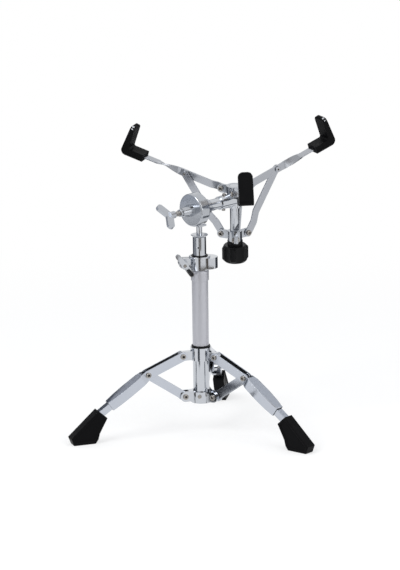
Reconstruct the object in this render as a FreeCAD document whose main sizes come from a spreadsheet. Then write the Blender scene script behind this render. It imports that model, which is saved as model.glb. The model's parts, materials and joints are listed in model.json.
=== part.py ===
import FreeCAD, Part
import math
import os
from types import SimpleNamespace

import Sketcher
from FreeCAD import Placement, Rotation, Vector

# Snare drum stand: folding tripod, telescoping column, ratchet tilter and a three-arm basket.
# Millimetres. The origin is on the column's axis at floor level, and +Z is up.

# Driving dimensions. A name that ends in angle is in degrees, in count is a number of copies,
# and in share is a part of the size that it follows.
SIZES = [
    # Column
    ("tube_diameter", 28.6),
    ("tube_wall", 1.6),
    ("tube_bottom", 54.0),
    ("sleeve_diameter", 31.4),
    ("sleeve_drop", 41.0),
    ("sleeve_height", 18.0),
    ("upper_tube_diameter", 23.4),
    ("upper_tube_wall", 1.6),
    ("upper_tube_length", 218.0),
    ("upper_tube_exposed", 37.0),
    ("cap_diameter", 29.7),
    ("cap_height", 4.0),
    ("cap_plug_depth", 9.0),
    ("cap_lip", 1.4),
    ("rod_diameter", 10.0),
    ("rod_depth", 32.0),
    ("cross_pin_diameter", 3.0),
    ("cross_pin_drop", 18.0),
    # Clearances
    ("seat_gap", 0.05),
    ("running_gap", 0.08),
    ("side_gap", 0.3),
    ("cut_overrun", 60.0),
    # Height clamp
    ("clamp_diameter", 37.0),
    ("clamp_seat_depth", 21.0),
    ("clamp_height", 24.0),
    ("clamp_ear_angle", 196.8),
    ("clamp_bolt_reach", 28.5),
    ("clamp_ear_radius", 9.0),
    ("clamp_ear_width", 17.0),
    ("clamp_split", 3.0),
    ("clamp_lobe_offset", 14.0),
    ("clamp_lobe_diameter", 35.0),
    ("clamp_lobe_inset", 2.0),
    ("clamp_bolt_diameter", 6.0),
    ("clamp_bolt_head", 11.0),
    ("clamp_bolt_head_height", 4.5),
    ("bushing_depth", 16.0),
    ("bushing_rim", 4.5),
    ("lever_span", 48.0),
    ("lever_width", 9.0),
    ("lever_depth", 6.0),
    ("lever_hub_diameter", 13.0),
    ("lever_hub_length", 16.5),
    ("lever_turn_angle", -54.0),
    # Tripod
    ("rear_leg_angle", 90.0),
    ("leg_step_angle", 120.0),
    ("leg_count", 3),
    ("upper_pivot_radius", 35.4),
    ("upper_pivot_height", 138.7),
    ("lower_pivot_radius", 32.2),
    ("lower_pivot_height", 66.1),
    ("leg_upper_length", 70.1),
    ("leg_upper_angle", 22.3),
    ("leg_lower_angle", 34.8),
    ("leg_plate_width", 16.0),
    ("leg_plate_gap", 10.0),
    ("leg_plate_thickness", 2.0),
    ("leg_plate_overlap", 12.0),
    ("leaf_start", 5.4),
    ("leaf_length", 80.6),
    ("leaf_width", 25.0),
    ("leaf_height", 17.0),
    ("leaf_wall", 1.6),
    ("neck_width", 13.0),
    ("neck_height", 12.0),
    ("neck_depth", 20.0),
    ("foot_entry", 104.9),
    ("foot_length", 67.2),
    ("foot_width", 20.0),
    ("foot_entry_share", 0.127),
    ("foot_height_share", 0.892),
    ("brace_width", 15.0),
    ("brace_thickness", 2.0),
    ("pivot_diameter", 6.0),
    ("rivet_head_diameter", 9.6),
    ("rivet_head_height", 2.2),
    # Lower hub
    ("lower_hub_diameter", 38.0),
    ("lower_hub_below", 12.6),
    ("lower_hub_height", 20.0),
    ("lower_ear_radius", 9.0),
    ("lower_ear_thickness", 3.0),
    ("hub_screw_diameter", 7.0),
    ("hub_screw_proud", 1.6),
    # Upper hub
    ("upper_hub_diameter", 37.0),
    ("upper_hub_below", 9.0),
    ("upper_hub_height", 22.8),
    ("upper_lug_radius", 8.0),
    ("ring_height", 3.2),
    ("ring_diameter", 33.0),
    ("boss_angle", 30.0),
    ("boss_drop", 25.5),
    ("boss_diameter", 14.0),
    ("boss_reach", 28.0),
    ("tongue_thickness", 7.5),
    ("hub_bolt_diameter", 6.0),
    ("hub_bolt_length", 20.0),
    ("hub_wing_span", 25.0),
    ("hub_wing_depth", 10.5),
    ("hub_wing_thickness", 5.0),
    ("hub_wing_hub", 10.0),
    ("hub_wing_sweep_angle", 20.0),
    ("hub_wing_turn_angle", 75.0),
    # Tilter
    ("tilter_angle", 53.1),
    ("tilter_height", 400.0),
    ("tilter_stand", 50.0),
    ("tilter_rise_angle", 1.5),
    ("tilter_set_angle", 4.9),
    ("tilter_diameter", 58.0),
    ("tilter_front", 20.5),
    ("tilter_seam", 2.0),
    ("tilter_seam_gap", 0.5),
    ("tilter_edge", 3.0),
    ("tilter_boss_diameter", 22.0),
    ("tilter_boss_length", 21.0),
    ("tilter_boss_tip", 14.0),
    ("tilter_neck_drop", 31.5),
    ("tilter_neck_width", 17.0),
    ("tilter_rear_diameter", 56.0),
    ("tilter_rear_depth", 13.0),
    ("tilter_socket_length", 10.0),
    ("tilter_socket_wall", 2.4),
    ("tilter_bolt_diameter", 8.0),
    ("tilter_bolt_end", 8.0),
    ("tilter_nut_diameter", 13.0),
    ("tilter_nut_length", 5.0),
    ("tilter_wing_stand_off", 57.0),
    ("tilter_wing_span", 48.0),
    ("tilter_wing_depth", 13.0),
    ("tilter_wing_thickness", 6.0),
    ("tilter_wing_hub", 13.0),
    ("tilter_wing_sweep_angle", 28.0),
    ("tilter_wing_turn_angle", 45.0),
    ("ratchet_outer", 36.0),
    ("ratchet_inner", 20.0),
    ("ratchet_height", 3.0),
    ("ratchet_tooth", 1.2),
    ("ratchet_tooth_count", 24),
    ("stub_diameter", 20.0),
    ("stub_wall", 2.5),
    # Basket carrier
    ("post_offset", 85.6),
    ("post_diameter", 16.7),
    ("post_lean_angle", 3.4),
    ("post_below_collar", 3.2),
    ("post_clamp_diameter", 26.0),
    ("post_clamp_height", 26.0),
    ("post_clamp_barrel", 24.0),
    ("post_clamp_reach", 38.0),
    ("stub_screw_diameter", 6.4),
    ("stub_screw_proud", 3.4),
    ("stub_screw_inset", 12.0),
    ("thread_diameter", 12.0),
    ("thread_inset", 1.2),
    ("thread_seat", 20.0),
    # Basket
    ("front_arm_angle", 285.1),
    ("arm_step_angle", 120.0),
    ("arm_count", 3),
    ("arm_pivot_radius", 24.8),
    ("arm_pivot_rise", 17.7),
    ("arm_slope_angle", 15.2),
    ("arm_width", 13.5),
    ("arm_thickness", 3.0),
    ("arm_joggle_start", 9.5),
    ("arm_joggle_end", 20.0),
    ("arm_twist_start", 80.0),
    ("arm_twist_length", 46.0),
    ("arm_twist_angle", -90.0),
    ("arm_twist_count", 8),
    ("arm_length", 178.0),
    ("arm_strut_distance", 70.9),
    ("ear_thickness", 4.4),
    ("ear_radius", 7.5),
    ("top_hub_diameter", 28.0),
    ("top_hub_rise", 8.0),
    ("collar_pivot_radius", 26.2),
    ("collar_pivot_drop", 66.7),
    ("collar_diameter", 25.0),
    ("collar_height", 18.0),
    ("strut_width", 14.0),
    ("strut_thickness", 2.5),
    ("strut_joggle_start", 22.0),
    ("strut_joggle_end", 40.0),
    ("strut_pin_diameter", 4.4),
    ("strut_pin_slack", 1.7),
    ("strut_head_diameter", 10.4),
    ("grip_cover", 16.6),
    ("grip_length", 43.0),
    ("grip_rise", 50.8),
    ("grip_thickness", 13.0),
    ("grip_taper", 4.5),
    ("grip_width", 25.0),
    ("grip_corner", 9.0),
    ("grip_top_round", 4.1),
    ("grip_inner_round", 3.0),
    ("grip_lean_angle", 3.8),
    ("grip_crown", 9.0),
    ("knob_diameter", 47.0),
    ("knob_neck_length", 8.0),
    ("knob_height", 30.0),
    ("knob_edge", 5.0),
    ("knob_thread_length", 17.0),
    ("knob_neck_diameter", 27.0),
    ("knob_scallop_diameter", 26.0),
    ("knob_scallop_radius", 32.5),
    ("knob_lobe_count", 6),
]

# Half outline of the pressed leaf on each leg: shares of the leaf's length and of its half width.
LEAF_SHARES = [(0.0, 0.62), (0.13, 0.93), (0.5, 1.0), (0.78, 0.9), (1.0, 0.65)]

# Side outline of a rubber foot: shares of its length and height, from the top of its mouth round.
FOOT_SHARES = [(0.247, 1.0), (0.0, 0.749), (0.216, 0.3), (0.259, 0.116), (0.339, 0.0), (0.924, 0.0),
               (1.0, 0.225)]

# The tilter's rear dome: shares of its radius and of its depth behind the seam.
DOME_SHARES = [(1.0, 0.0), (0.93, 0.25), (0.78, 0.55)]

# The flat of the knob's rim and the start of the tilter's neck: shares of their pieces' radii.
knob_rim_share = 0.8
chin_share = 0.6

doc = FreeCAD.newDocument("SnareDrumStand")
sheet = doc.addObject("Spreadsheet::Sheet", "Sizes")


class Size:
    """A value together with the sheet expression that gives it."""

    def __init__(self, value, text):
        self.value = value
        self.text = text

    def __add__(self, other):
        other = sized(other)
        return Size(self.value + other.value, f"({self.text} + {other.text})")

    def __sub__(self, other):
        other = sized(other)
        return Size(self.value - other.value, f"({self.text} - {other.text})")

    def __mul__(self, other):
        other = sized(other)
        return Size(self.value * other.value, f"({self.text} * {other.text})")

    def __truediv__(self, other):
        other = sized(other)
        return Size(self.value / other.value, f"({self.text} / {other.text})")

    def __neg__(self):
        return Size(-self.value, f"(-1 * {self.text})")

    __radd__ = __add__
    __rmul__ = __mul__


def sized(number):
    return number if isinstance(number, Size) else Size(float(number), f"({float(number)})")


def sine(angle):
    return Size(math.sin(math.radians(angle.value)), f"sin({angle.text})")


def cosine(angle):
    return Size(math.cos(math.radians(angle.value)), f"cos({angle.text})")


def diagonal(run, rise):
    return Size(math.hypot(run.value, rise.value), f"sqrt({run.text}^2 + {rise.text}^2)")


def fill_sheet():
    """Write every driving dimension into its own named cell."""
    for row, (alias, number) in enumerate(SIZES, 1):
        sheet.set(f"A{row}", alias)
        sheet.set(f"B{row}", str(number))
        sheet.setAlias(f"B{row}", alias)
    doc.recompute()
    sizes = {alias: Size(float(sheet.get(alias)), f"Sizes.{alias}") for alias, number in SIZES}
    return SimpleNamespace(**sizes)


s = fill_sheet()
pieces = []


def new_piece(label, several=False):
    """Start a piece; several allows a group of separate solids."""
    body = doc.addObject("PartDesign::Body", label)
    body.Label = label
    body.AllowCompound = several
    pieces.append(body)
    return body


def origin_part(body, role):
    return next(part for part in body.Origin.OriginFeatures if part.Role == role)


def place(body, *steps):
    """Put a piece where the product of the given placements says."""
    result = Placement()
    for step in steps:
        result = result.multiply(step)
    body.Placement = result


def moved(x=0, y=0, z=0):
    return Placement(Vector(sized(x).value, sized(y).value, sized(z).value), Rotation())


def turned_about(axis, angle):
    return Placement(Vector(), Rotation(axis, sized(angle).value))


def about_x(angle):
    return turned_about(Vector(1, 0, 0), angle)


def about_y(angle):
    return turned_about(Vector(0, 1, 0), angle)


def about_z(angle):
    return turned_about(Vector(0, 0, 1), angle)


def new_sketch(body, role, offset=0):
    """A sketch on an origin plane of its body, shifted along that plane's normal."""
    sketch = body.newObject("Sketcher::SketchObject", f"{body.Name}_sketch")
    sketch.AttachmentSupport = [(origin_part(body, role), "")]
    sketch.MapMode = "FlatFace"
    sketch.setExpression("AttachmentOffset.Base.z", sized(offset).text)
    return sketch


def tip_sketch(sketch, angle, distance):
    """Turn a sketch about its own X axis and shift it along its new normal."""
    sketch.AttachmentOffset = Placement(Vector(), Rotation(Vector(1, 0, 0), angle.value))
    sketch.setExpression("AttachmentOffset.Rotation.Angle", angle.text)
    sketch.setExpression("AttachmentOffset.Base.y", (-distance * sine(angle)).text)
    sketch.setExpression("AttachmentOffset.Base.z", (distance * cosine(angle)).text)


def lean_sketch(sketch, angle):
    """Turn a sketch about its own Y axis, so that its normal leans towards -X."""
    sketch.AttachmentOffset = Placement(Vector(), Rotation(Vector(0, -1, 0), angle.value))
    sketch.setExpression("AttachmentOffset.Rotation.Angle", angle.text)


def locate(sketch, geometry, point, x, y):
    """Hold a point of the sketch at a place given by two sizes."""
    for kind, size in (("DistanceX", x), ("DistanceY", y)):
        index = sketch.addConstraint(Sketcher.Constraint(kind, -1, 1, geometry, point, size.value))
        sketch.setExpression(f"Constraints[{index}]", size.text)


def arc_between(start, end, radius):
    """The short arc from start to end: positive radii turn left, negative ones turn right."""
    if radius < 0:
        start, end = end, start
    chord = end - start
    middle = (start + end) / 2
    rise = math.sqrt(max(radius ** 2 - chord.Length ** 2 / 4, 0))
    centre = middle + Vector(-chord.y, chord.x, 0) / chord.Length * rise
    angles = [math.atan2(point.y - centre.y, point.x - centre.x) for point in (start, end)]
    return Part.ArcOfCircle(Part.Circle(centre, Vector(0, 0, 1), abs(radius)), *angles)


def outline(body, role, path, offset=0):
    """A closed outline. A step of two sizes is a line to that point, and a third is an arc's radius."""
    sketch = new_sketch(body, role, offset)
    path = [tuple(sized(size) for size in step) for step in path]
    ends = []
    for index, step in enumerate(path):
        start, end = (Vector(corner[0].value, corner[1].value, 0) for corner in (path[index - 1], step))
        turns_right = len(step) > 2 and step[2].value < 0
        ends.append((2, 1) if turns_right else (1, 2))
        if len(step) > 2:
            sketch.addGeometry(arc_between(start, end, step[2].value), False)
        else:
            sketch.addGeometry(Part.LineSegment(start, end), False)
    for index in range(len(path)):
        after = (index + 1) % len(path)
        joint = Sketcher.Constraint("Coincident", index, ends[index][1], after, ends[after][0])
        sketch.addConstraint(joint)
    for index, step in enumerate(path):
        locate(sketch, index, ends[index][1], step[0], step[1])
        if len(step) > 2:
            radius = step[2] if step[2].value > 0 else -step[2]
            number = sketch.addConstraint(Sketcher.Constraint("Radius", index, radius.value))
            sketch.setExpression(f"Constraints[{number}]", radius.text)
    return sketch


def circle(body, role, x, y, diameter, offset=0):
    sketch = new_sketch(body, role, offset)
    x, y, diameter = sized(x), sized(y), sized(diameter)
    shape = Part.Circle(Vector(x.value, y.value, 0), Vector(0, 0, 1), diameter.value / 2)
    sketch.addGeometry(shape, False)
    locate(sketch, 0, 3, x, y)
    number = sketch.addConstraint(Sketcher.Constraint("Diameter", 0, diameter.value))
    sketch.setExpression(f"Constraints[{number}]", diameter.text)
    return sketch


def extrude(body, kind, sketch, length, symmetric):
    feature = body.newObject(f"PartDesign::{kind}", f"{body.Name}_{kind.lower()}")
    feature.Profile = sketch
    feature.SideType = "Symmetric" if symmetric else "One side"
    feature.setExpression("Length", sized(length).text)
    return feature


def pad(body, sketch, length, symmetric=True):
    return extrude(body, "Pad", sketch, length, symmetric)


def pocket(body, sketch, length, symmetric=True):
    """Cut the sketch out, centred on its plane, or behind it where not symmetric."""
    return extrude(body, "Pocket", sketch, length, symmetric)


def turn(body, profile):
    """Revolve a profile of radius and height pairs about the piece's Z axis."""
    sketch = outline(body, "XZ_Plane", profile)
    feature = body.newObject("PartDesign::Revolution", f"{body.Name}_turn")
    feature.Profile = sketch
    feature.ReferenceAxis = (sketch, ["V_Axis"])
    feature.Angle = 360
    return feature


def ring(body, inner, outer, bottom, top):
    return turn(body, [(inner, bottom), (outer, bottom), (outer, top), (inner, top)])


def around(body, features, count, angle=360):
    """Repeat features about the piece's Z axis."""
    pattern = body.newObject("PartDesign::PolarPattern", f"{body.Name}_around")
    pattern.Originals = features
    pattern.Axis = (origin_part(body, "Z_Axis"), [""])
    pattern.Angle = angle
    pattern.setExpression("Occurrences", count.text)
    body.Tip = pattern
    return pattern


def peg(body, x, z, diameter, low, high):
    """A round peg along the piece's Y axis, from low to high."""
    return pad(body, circle(body, "XZ_Plane", x, z, diameter, -high), high - low, symmetric=False)


def drill_y(body, x, z, diameter):
    return pocket(body, circle(body, "XZ_Plane", x, z, diameter), s.cut_overrun)


def drill_z(body, x, y, diameter, height):
    """A hole along Z, as long as the overrun, centred on the given height."""
    return pocket(body, circle(body, "XY_Plane", x, y, diameter, height), s.cut_overrun)


def round_end(x, z, radius):
    """Two quarter turns round the +X end of a lug, from below to above."""
    return [(x, z - radius), (x + radius, z, radius), (x, z + radius, radius)]


def rectangle(x0, y0, x1, y1):
    return [(x0, y0), (x1, y0), (x1, y1), (x0, y1)]


def soften(body, feature, radius, chosen):
    """Round those edges of a feature whose middle point is chosen."""
    doc.recompute()
    edges = []
    for index, edge in enumerate(feature.Shape.Edges, 1):
        if chosen(edge.valueAt((edge.FirstParameter + edge.LastParameter) / 2), edge):
            edges.append(f"Edge{index}")
    fillet = body.newObject("PartDesign::Fillet", f"{body.Name}_soften")
    fillet.Base = (feature, edges)
    fillet.setExpression("Radius", sized(radius).text)
    return fillet


# Places that follow from the driving dimensions

tube_radius = s.tube_diameter / 2
upper_radius = s.upper_tube_diameter / 2
post_radius = s.post_diameter / 2
mid_pivot_radius = s.upper_pivot_radius + s.leg_upper_length * cosine(s.leg_upper_angle)
mid_pivot_height = s.upper_pivot_height - s.leg_upper_length * sine(s.leg_upper_angle)
brace_run = mid_pivot_radius - s.lower_pivot_radius
brace_rise = mid_pivot_height - s.lower_pivot_height
brace_length = diagonal(brace_run, brace_rise)
brace_angle = math.degrees(math.atan2(brace_rise.value, brace_run.value))
leg_bend = s.leg_lower_angle - s.leg_upper_angle
leg_top_x = -s.leg_upper_length * cosine(leg_bend)
leg_top_z = -s.leg_upper_length * sine(leg_bend)
plate_half = s.leg_plate_width / 2
leg_half_width = s.leg_plate_gap / 2 + s.leg_plate_thickness
strip_span = s.leg_plate_gap - 2 * s.side_gap
entry_radius = mid_pivot_radius + s.foot_entry * cosine(s.leg_lower_angle)
entry_height = mid_pivot_height - s.foot_entry * sine(s.leg_lower_angle)
foot_height = entry_height / s.foot_height_share
neck_end = s.foot_entry + s.neck_depth
upper_tube_top = s.tilter_height - s.tilter_stand
upper_tube_bottom = upper_tube_top - s.upper_tube_length
tube_top = upper_tube_top - s.upper_tube_exposed
sleeve_bottom = tube_top - s.sleeve_drop
clamp_bottom = tube_top - s.clamp_seat_depth
cap_top = upper_tube_top + s.cap_height
rod_top = s.tilter_height - s.tilter_rear_diameter / 2 - s.side_gap - s.seat_gap
clamp_top = clamp_bottom + s.clamp_height
clamp_middle = clamp_bottom + s.clamp_height / 2
boss_height = s.upper_pivot_height - s.boss_drop
arm_pivot_height = s.tilter_height + s.arm_pivot_rise
collar_pivot_height = s.tilter_height - s.collar_pivot_drop
collar_top = collar_pivot_height + s.collar_height / 2
collar_bottom = collar_pivot_height - s.collar_height / 2
post_bottom = collar_bottom - s.post_below_collar
knob_top = collar_bottom - s.side_gap
knob_bottom = knob_top - s.knob_neck_length - s.knob_height
grip_outer = s.arm_length + s.grip_cover
strut_run = s.arm_pivot_radius + s.arm_strut_distance * cosine(s.arm_slope_angle) - s.collar_pivot_radius
strut_rise = s.arm_pivot_rise + s.arm_strut_distance * sine(s.arm_slope_angle) + s.collar_pivot_drop
strut_length = diagonal(strut_run, strut_rise)
strut_angle = math.degrees(math.atan2(strut_rise.value, strut_run.value))
post_top = arm_pivot_height + s.top_hub_rise
LEG_NAMES = ["rear", "left", "right"]
ARM_NAMES = ["front", "right", "left"]

leg_angles = {name: s.rear_leg_angle.value + turn_number * s.leg_step_angle.value
              for turn_number, name in enumerate(LEG_NAMES)}
arm_angles = {name: s.front_arm_angle.value + turn_number * s.arm_step_angle.value
              for turn_number, name in enumerate(ARM_NAMES)}

# The tilter's axis rises towards the post, the head stands a little turned about it, and the post leans.
tilter_line = [moved(z=s.tilter_height), about_z(s.tilter_angle), about_y(-s.tilter_rise_angle)]
to_tilter = tilter_line + [about_y(90)]
to_tee = tilter_line + [about_x(s.tilter_set_angle), moved(x=s.post_offset)]
to_post = to_tee + [about_y(-s.post_lean_angle), about_z(-s.tilter_angle), moved(z=-s.tilter_height)]


def to_leg(name):
    """The leg's frame: X runs down the lower leg from the mid pivot, Y across it."""
    outward = about_z(leg_angles[name])
    return [outward, moved(mid_pivot_radius, 0, mid_pivot_height), about_y(s.leg_lower_angle)]


def to_brace(name):
    outward = about_z(leg_angles[name])
    return [outward, moved(s.lower_pivot_radius, 0, s.lower_pivot_height), about_y(-brace_angle)]


def to_arm(name):
    """The arm's frame: X runs out along the arm from its pivot, Y across it."""
    outward = about_z(arm_angles[name])
    pivot = moved(s.arm_pivot_radius, 0, arm_pivot_height)
    return to_post + [outward, pivot, about_y(-s.arm_slope_angle)]


def to_strut(name):
    outward = about_z(arm_angles[name])
    pivot = moved(s.collar_pivot_radius, 0, collar_pivot_height)
    return to_post + [outward, pivot, about_y(-strut_angle)]


# Column

def make_base_tube():
    body = new_piece("base_tube")
    ring(body, tube_radius - s.tube_wall, tube_radius, s.tube_bottom, tube_top)


def make_tube_sleeve():
    body = new_piece("tube_sleeve")
    top = sleeve_bottom + s.sleeve_height
    ring(body, tube_radius + s.seat_gap, s.sleeve_diameter / 2, sleeve_bottom, top)


def make_lower_hub():
    """Cast ring on the tube's foot with three clevises for the braces."""
    body = new_piece("lower_hub")
    bottom = s.lower_pivot_height - s.lower_hub_below
    core = s.lower_hub_diameter / 2
    top = bottom + s.lower_hub_height
    turn(body, [(0, bottom), (core, bottom), (core, top), (0, top)])
    x, z, radius = s.lower_pivot_radius, s.lower_pivot_height, s.lower_ear_radius
    lug = [(tube_radius, z - radius)] + round_end(x, z, radius) + [(tube_radius, z + radius)]
    ears = pad(body, outline(body, "XZ_Plane", lug), s.leg_plate_gap + 2 * s.lower_ear_thickness)
    inner = x - s.brace_width / 2 - s.side_gap
    slot = rectangle(inner, z - s.cut_overrun, x + s.cut_overrun, z + s.cut_overrun)
    gap = pocket(body, outline(body, "XZ_Plane", slot), s.leg_plate_gap)
    hole = drill_y(body, x, z, s.pivot_diameter + 2 * s.seat_gap)
    around(body, [ears, gap, hole], s.leg_count)
    drill_z(body, 0, 0, s.tube_diameter + 2 * s.seat_gap, z)
    screw = circle(body, "YZ_Plane", 0, z, s.hub_screw_diameter + 2 * s.seat_gap, -s.cut_overrun / 2)
    pocket(body, screw, s.cut_overrun)
    place(body, about_z(s.rear_leg_angle))


def make_lower_hub_screw():
    """Set screw between the two front clevises, its tip against the tube."""
    body = new_piece("lower_hub_screw")
    reach = s.lower_hub_diameter / 2 + s.hub_screw_proud
    ring_inner = s.hub_screw_diameter / 4
    radius = s.hub_screw_diameter / 2
    tip = tube_radius + s.seat_gap
    recess = reach - s.hub_screw_proud
    turn(body, [(0, tip), (radius, tip), (radius, reach), (ring_inner, reach), (ring_inner, recess),
                (0, recess)])
    place(body, about_z(s.rear_leg_angle), moved(z=s.lower_pivot_height), about_y(-90))


def make_rivet(body, x, z, low, high, diameter, head):
    """A rivet along Y with a head outside each end."""
    features = [peg(body, x, z, diameter, low, high)]
    features.append(peg(body, x, z, head, high, high + s.rivet_head_height))
    features.append(peg(body, x, z, head, low - s.rivet_head_height, low))
    return features


def make_lower_hub_rivets():
    body = new_piece("lower_hub_rivets", several=True)
    half = s.leg_plate_gap / 2 + s.lower_ear_thickness
    rivet = make_rivet(body, s.lower_pivot_radius, s.lower_pivot_height, -half, half,
                       s.pivot_diameter, s.rivet_head_diameter)
    around(body, rivet, s.leg_count)
    place(body, about_z(s.rear_leg_angle))


def make_height_clamp():
    """Split casting round the tube's mouth, with two ears for the bolt and a round lobe behind."""
    body = new_piece("height_clamp")
    core = s.clamp_diameter / 2
    turn(body, [(0, clamp_bottom), (core, clamp_bottom), (core, clamp_top), (0, clamp_top)])
    lobe_bottom = clamp_bottom + s.clamp_lobe_inset
    lobe = circle(body, "XY_Plane", -s.clamp_lobe_offset, 0, s.clamp_lobe_diameter, lobe_bottom)
    pad(body, lobe, s.clamp_height - 2 * s.clamp_lobe_inset, symmetric=False)
    x, z, radius = s.clamp_bolt_reach, clamp_middle, s.clamp_ear_radius
    lug = [(0, z - radius)] + round_end(x, z, radius) + [(0, z + radius)]
    pad(body, outline(body, "XZ_Plane", lug), s.clamp_ear_width)
    slot = rectangle(0, z - s.cut_overrun, x + s.cut_overrun, z + s.cut_overrun)
    pocket(body, outline(body, "XZ_Plane", slot), s.clamp_split)
    drill_y(body, x, z, s.clamp_bolt_diameter + 2 * s.seat_gap)
    drill_z(body, 0, 0, s.tube_diameter + 2 * s.seat_gap, z)
    place(body, about_z(s.clamp_ear_angle))


def make_clamp_bushing():
    """Plastic guide in the tube's mouth that the upper tube slides through."""
    body = new_piece("clamp_bushing")
    inner = upper_radius + s.running_gap
    wall = tube_radius - s.tube_wall - s.seat_gap
    bottom = tube_top - s.bushing_depth
    top = tube_top + s.bushing_rim
    turn(body, [(inner, bottom), (wall, bottom), (wall, tube_top), (tube_radius, tube_top),
                (tube_radius, top), (inner, top)])


def make_clamp_bolt():
    body = new_piece("clamp_bolt")
    half = s.clamp_ear_width / 2
    reach = half + s.side_gap + s.lever_hub_length
    peg(body, s.clamp_bolt_reach, clamp_middle, s.clamp_bolt_diameter, -half, reach)
    peg(body, s.clamp_bolt_reach, clamp_middle, s.clamp_bolt_head, -half - s.clamp_bolt_head_height, -half)
    place(body, about_z(s.clamp_ear_angle))


def capsule(length, width):
    """A bar's outline with two round ends, centred on the origin."""
    x, radius = (length - width) / 2, width / 2
    right = round_end(x, sized(0), radius)
    left = [(-x, radius), (-x - radius, 0, radius), (-x, -radius, radius)]
    return right + left


def make_clamp_lever():
    """Flat bar on a round hub that tightens the clamp's bolt."""
    body = new_piece("clamp_lever")
    bore = s.clamp_bolt_diameter / 2 + s.running_gap
    ring(body, bore, s.lever_hub_diameter / 2, 0, s.lever_hub_length)
    start = s.lever_hub_length - s.lever_depth
    bar = outline(body, "XY_Plane", capsule(s.lever_span, s.lever_width), start)
    pad(body, bar, s.lever_depth, symmetric=False)
    drill_z(body, 0, 0, 2 * bore, 0)
    seat = moved(s.clamp_bolt_reach, s.clamp_ear_width / 2 + s.side_gap, clamp_middle)
    place(body, about_z(s.clamp_ear_angle), seat, about_x(-90), about_z(s.lever_turn_angle))


def make_upper_tube():
    body = new_piece("upper_tube")
    ring(body, upper_radius - s.upper_tube_wall, upper_radius, upper_tube_bottom, upper_tube_top)
    drill_y(body, 0, upper_tube_top - s.cross_pin_drop, s.cross_pin_diameter + 2 * s.seat_gap)


def make_tube_cap():
    """Flanged cap that closes the upper tube round the tilter rod."""
    body = new_piece("tube_cap")
    bore = s.rod_diameter / 2 + s.seat_gap
    plug = upper_radius - s.upper_tube_wall - s.seat_gap
    rim = s.cap_diameter / 2
    neck = upper_radius
    low, seat = upper_tube_top - s.cap_plug_depth, upper_tube_top
    turn(body, [(bore, low), (plug, low), (plug, seat), (neck, seat), (rim, cap_top - s.cap_lip),
                (rim, cap_top), (bore, cap_top)])


def make_cross_pin():
    body = new_piece("cross_pin")
    peg(body, 0, upper_tube_top - s.cross_pin_drop, s.cross_pin_diameter, -upper_radius, upper_radius)


def make_tilter_rod():
    body = new_piece("tilter_rod")
    bottom = upper_tube_top - s.rod_depth
    turn(body, [(0, bottom), (s.rod_diameter / 2, bottom), (s.rod_diameter / 2, rod_top), (0, rod_top)])
    drill_y(body, 0, upper_tube_top - s.cross_pin_drop, s.cross_pin_diameter + 2 * s.seat_gap)


# Tripod

def make_upper_hub():
    """Casting that slides on the tube: three lugs for the legs, and a boss for the wing bolt."""
    body = new_piece("upper_hub")
    bottom = s.upper_pivot_height - s.upper_hub_below
    top = bottom + s.upper_hub_height
    core = s.upper_hub_diameter / 2
    turn(body, [(0, bottom), (core, bottom), (core, top), (0, top)])
    x, z, radius = s.upper_pivot_radius, s.upper_pivot_height, s.upper_lug_radius
    shape = [(-x, z + radius), (-x - radius, z, radius), (-x, z - radius, radius),
             (-tube_radius, z - radius), (-tube_radius, z + radius)]
    lug = pad(body, outline(body, "XZ_Plane", shape), strip_span)
    around(body, [lug], s.leg_count)
    low = boss_height - s.boss_diameter / 2
    outer = tube_radius + s.tongue_thickness
    tongue = [(0, low), (outer, low), (outer, z), (0, z)]
    pad(body, outline(body, "XZ_Plane", tongue), s.boss_diameter)
    boss = circle(body, "YZ_Plane", 0, boss_height, s.boss_diameter)
    pad(body, boss, s.boss_reach, symmetric=False)
    bolt = circle(body, "YZ_Plane", 0, boss_height, s.hub_bolt_diameter + 2 * s.running_gap, s.cut_overrun)
    pocket(body, bolt, s.cut_overrun, symmetric=False)
    drill_z(body, 0, 0, s.tube_diameter + 2 * s.running_gap, (low + top) / 2)
    place(body, about_z(s.boss_angle))


def make_hub_ring():
    body = new_piece("hub_bushing_ring")
    bottom = s.upper_pivot_height - s.upper_hub_below + s.upper_hub_height
    ring(body, tube_radius + s.running_gap, s.ring_diameter / 2, bottom, bottom + s.ring_height)


def swept_wing(span, depth, sweep_angle):
    """Outline of two lobes with round ends that sweep up from the middle."""
    radius = depth / 2
    along, rise = cosine(sweep_angle), sine(sweep_angle)
    reach = span / (2 * along) - radius

    def lobe(out, across):
        return out * along - across * rise, out * rise + across * along

    lower, tip, upper = lobe(reach, -radius), lobe(reach + radius, sized(0)), lobe(reach, radius)
    left_upper, left_tip, left_lower = [(-x, z) for x, z in (upper, tip, lower)]
    return [(0, -radius / along), lower, (*tip, radius), (*upper, radius), (0, radius / along),
            left_upper, (*left_tip, radius), (*left_lower, radius)]


def make_wing_bolt(label, thread, stem, hub, hub_length, span, depth, thickness, sweep_angle):
    """A bolt with its tip at the origin and a two-lobed wing at its +Z end."""
    body = new_piece(label)
    end = stem + hub_length
    shoulder = stem + thread / 4
    turn(body, [(0, 0), (thread / 2, 0), (thread / 2, stem), (hub / 2, shoulder), (hub / 2, end), (0, end)])
    wing = [(x, z + end, *rest) for x, z, *rest in swept_wing(span, depth, sweep_angle)]
    pad(body, outline(body, "XZ_Plane", wing), thickness)
    return body


def make_hub_wing_bolt():
    body = make_wing_bolt("hub_wing_bolt", s.hub_bolt_diameter, s.hub_bolt_length, s.hub_wing_hub,
                          s.hub_wing_hub / 2, s.hub_wing_span, s.hub_wing_depth, s.hub_wing_thickness,
                          s.hub_wing_sweep_angle)
    place(body, about_z(s.boss_angle), moved(tube_radius + s.side_gap, 0, boss_height), about_y(90),
          about_z(s.hub_wing_turn_angle))


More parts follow.
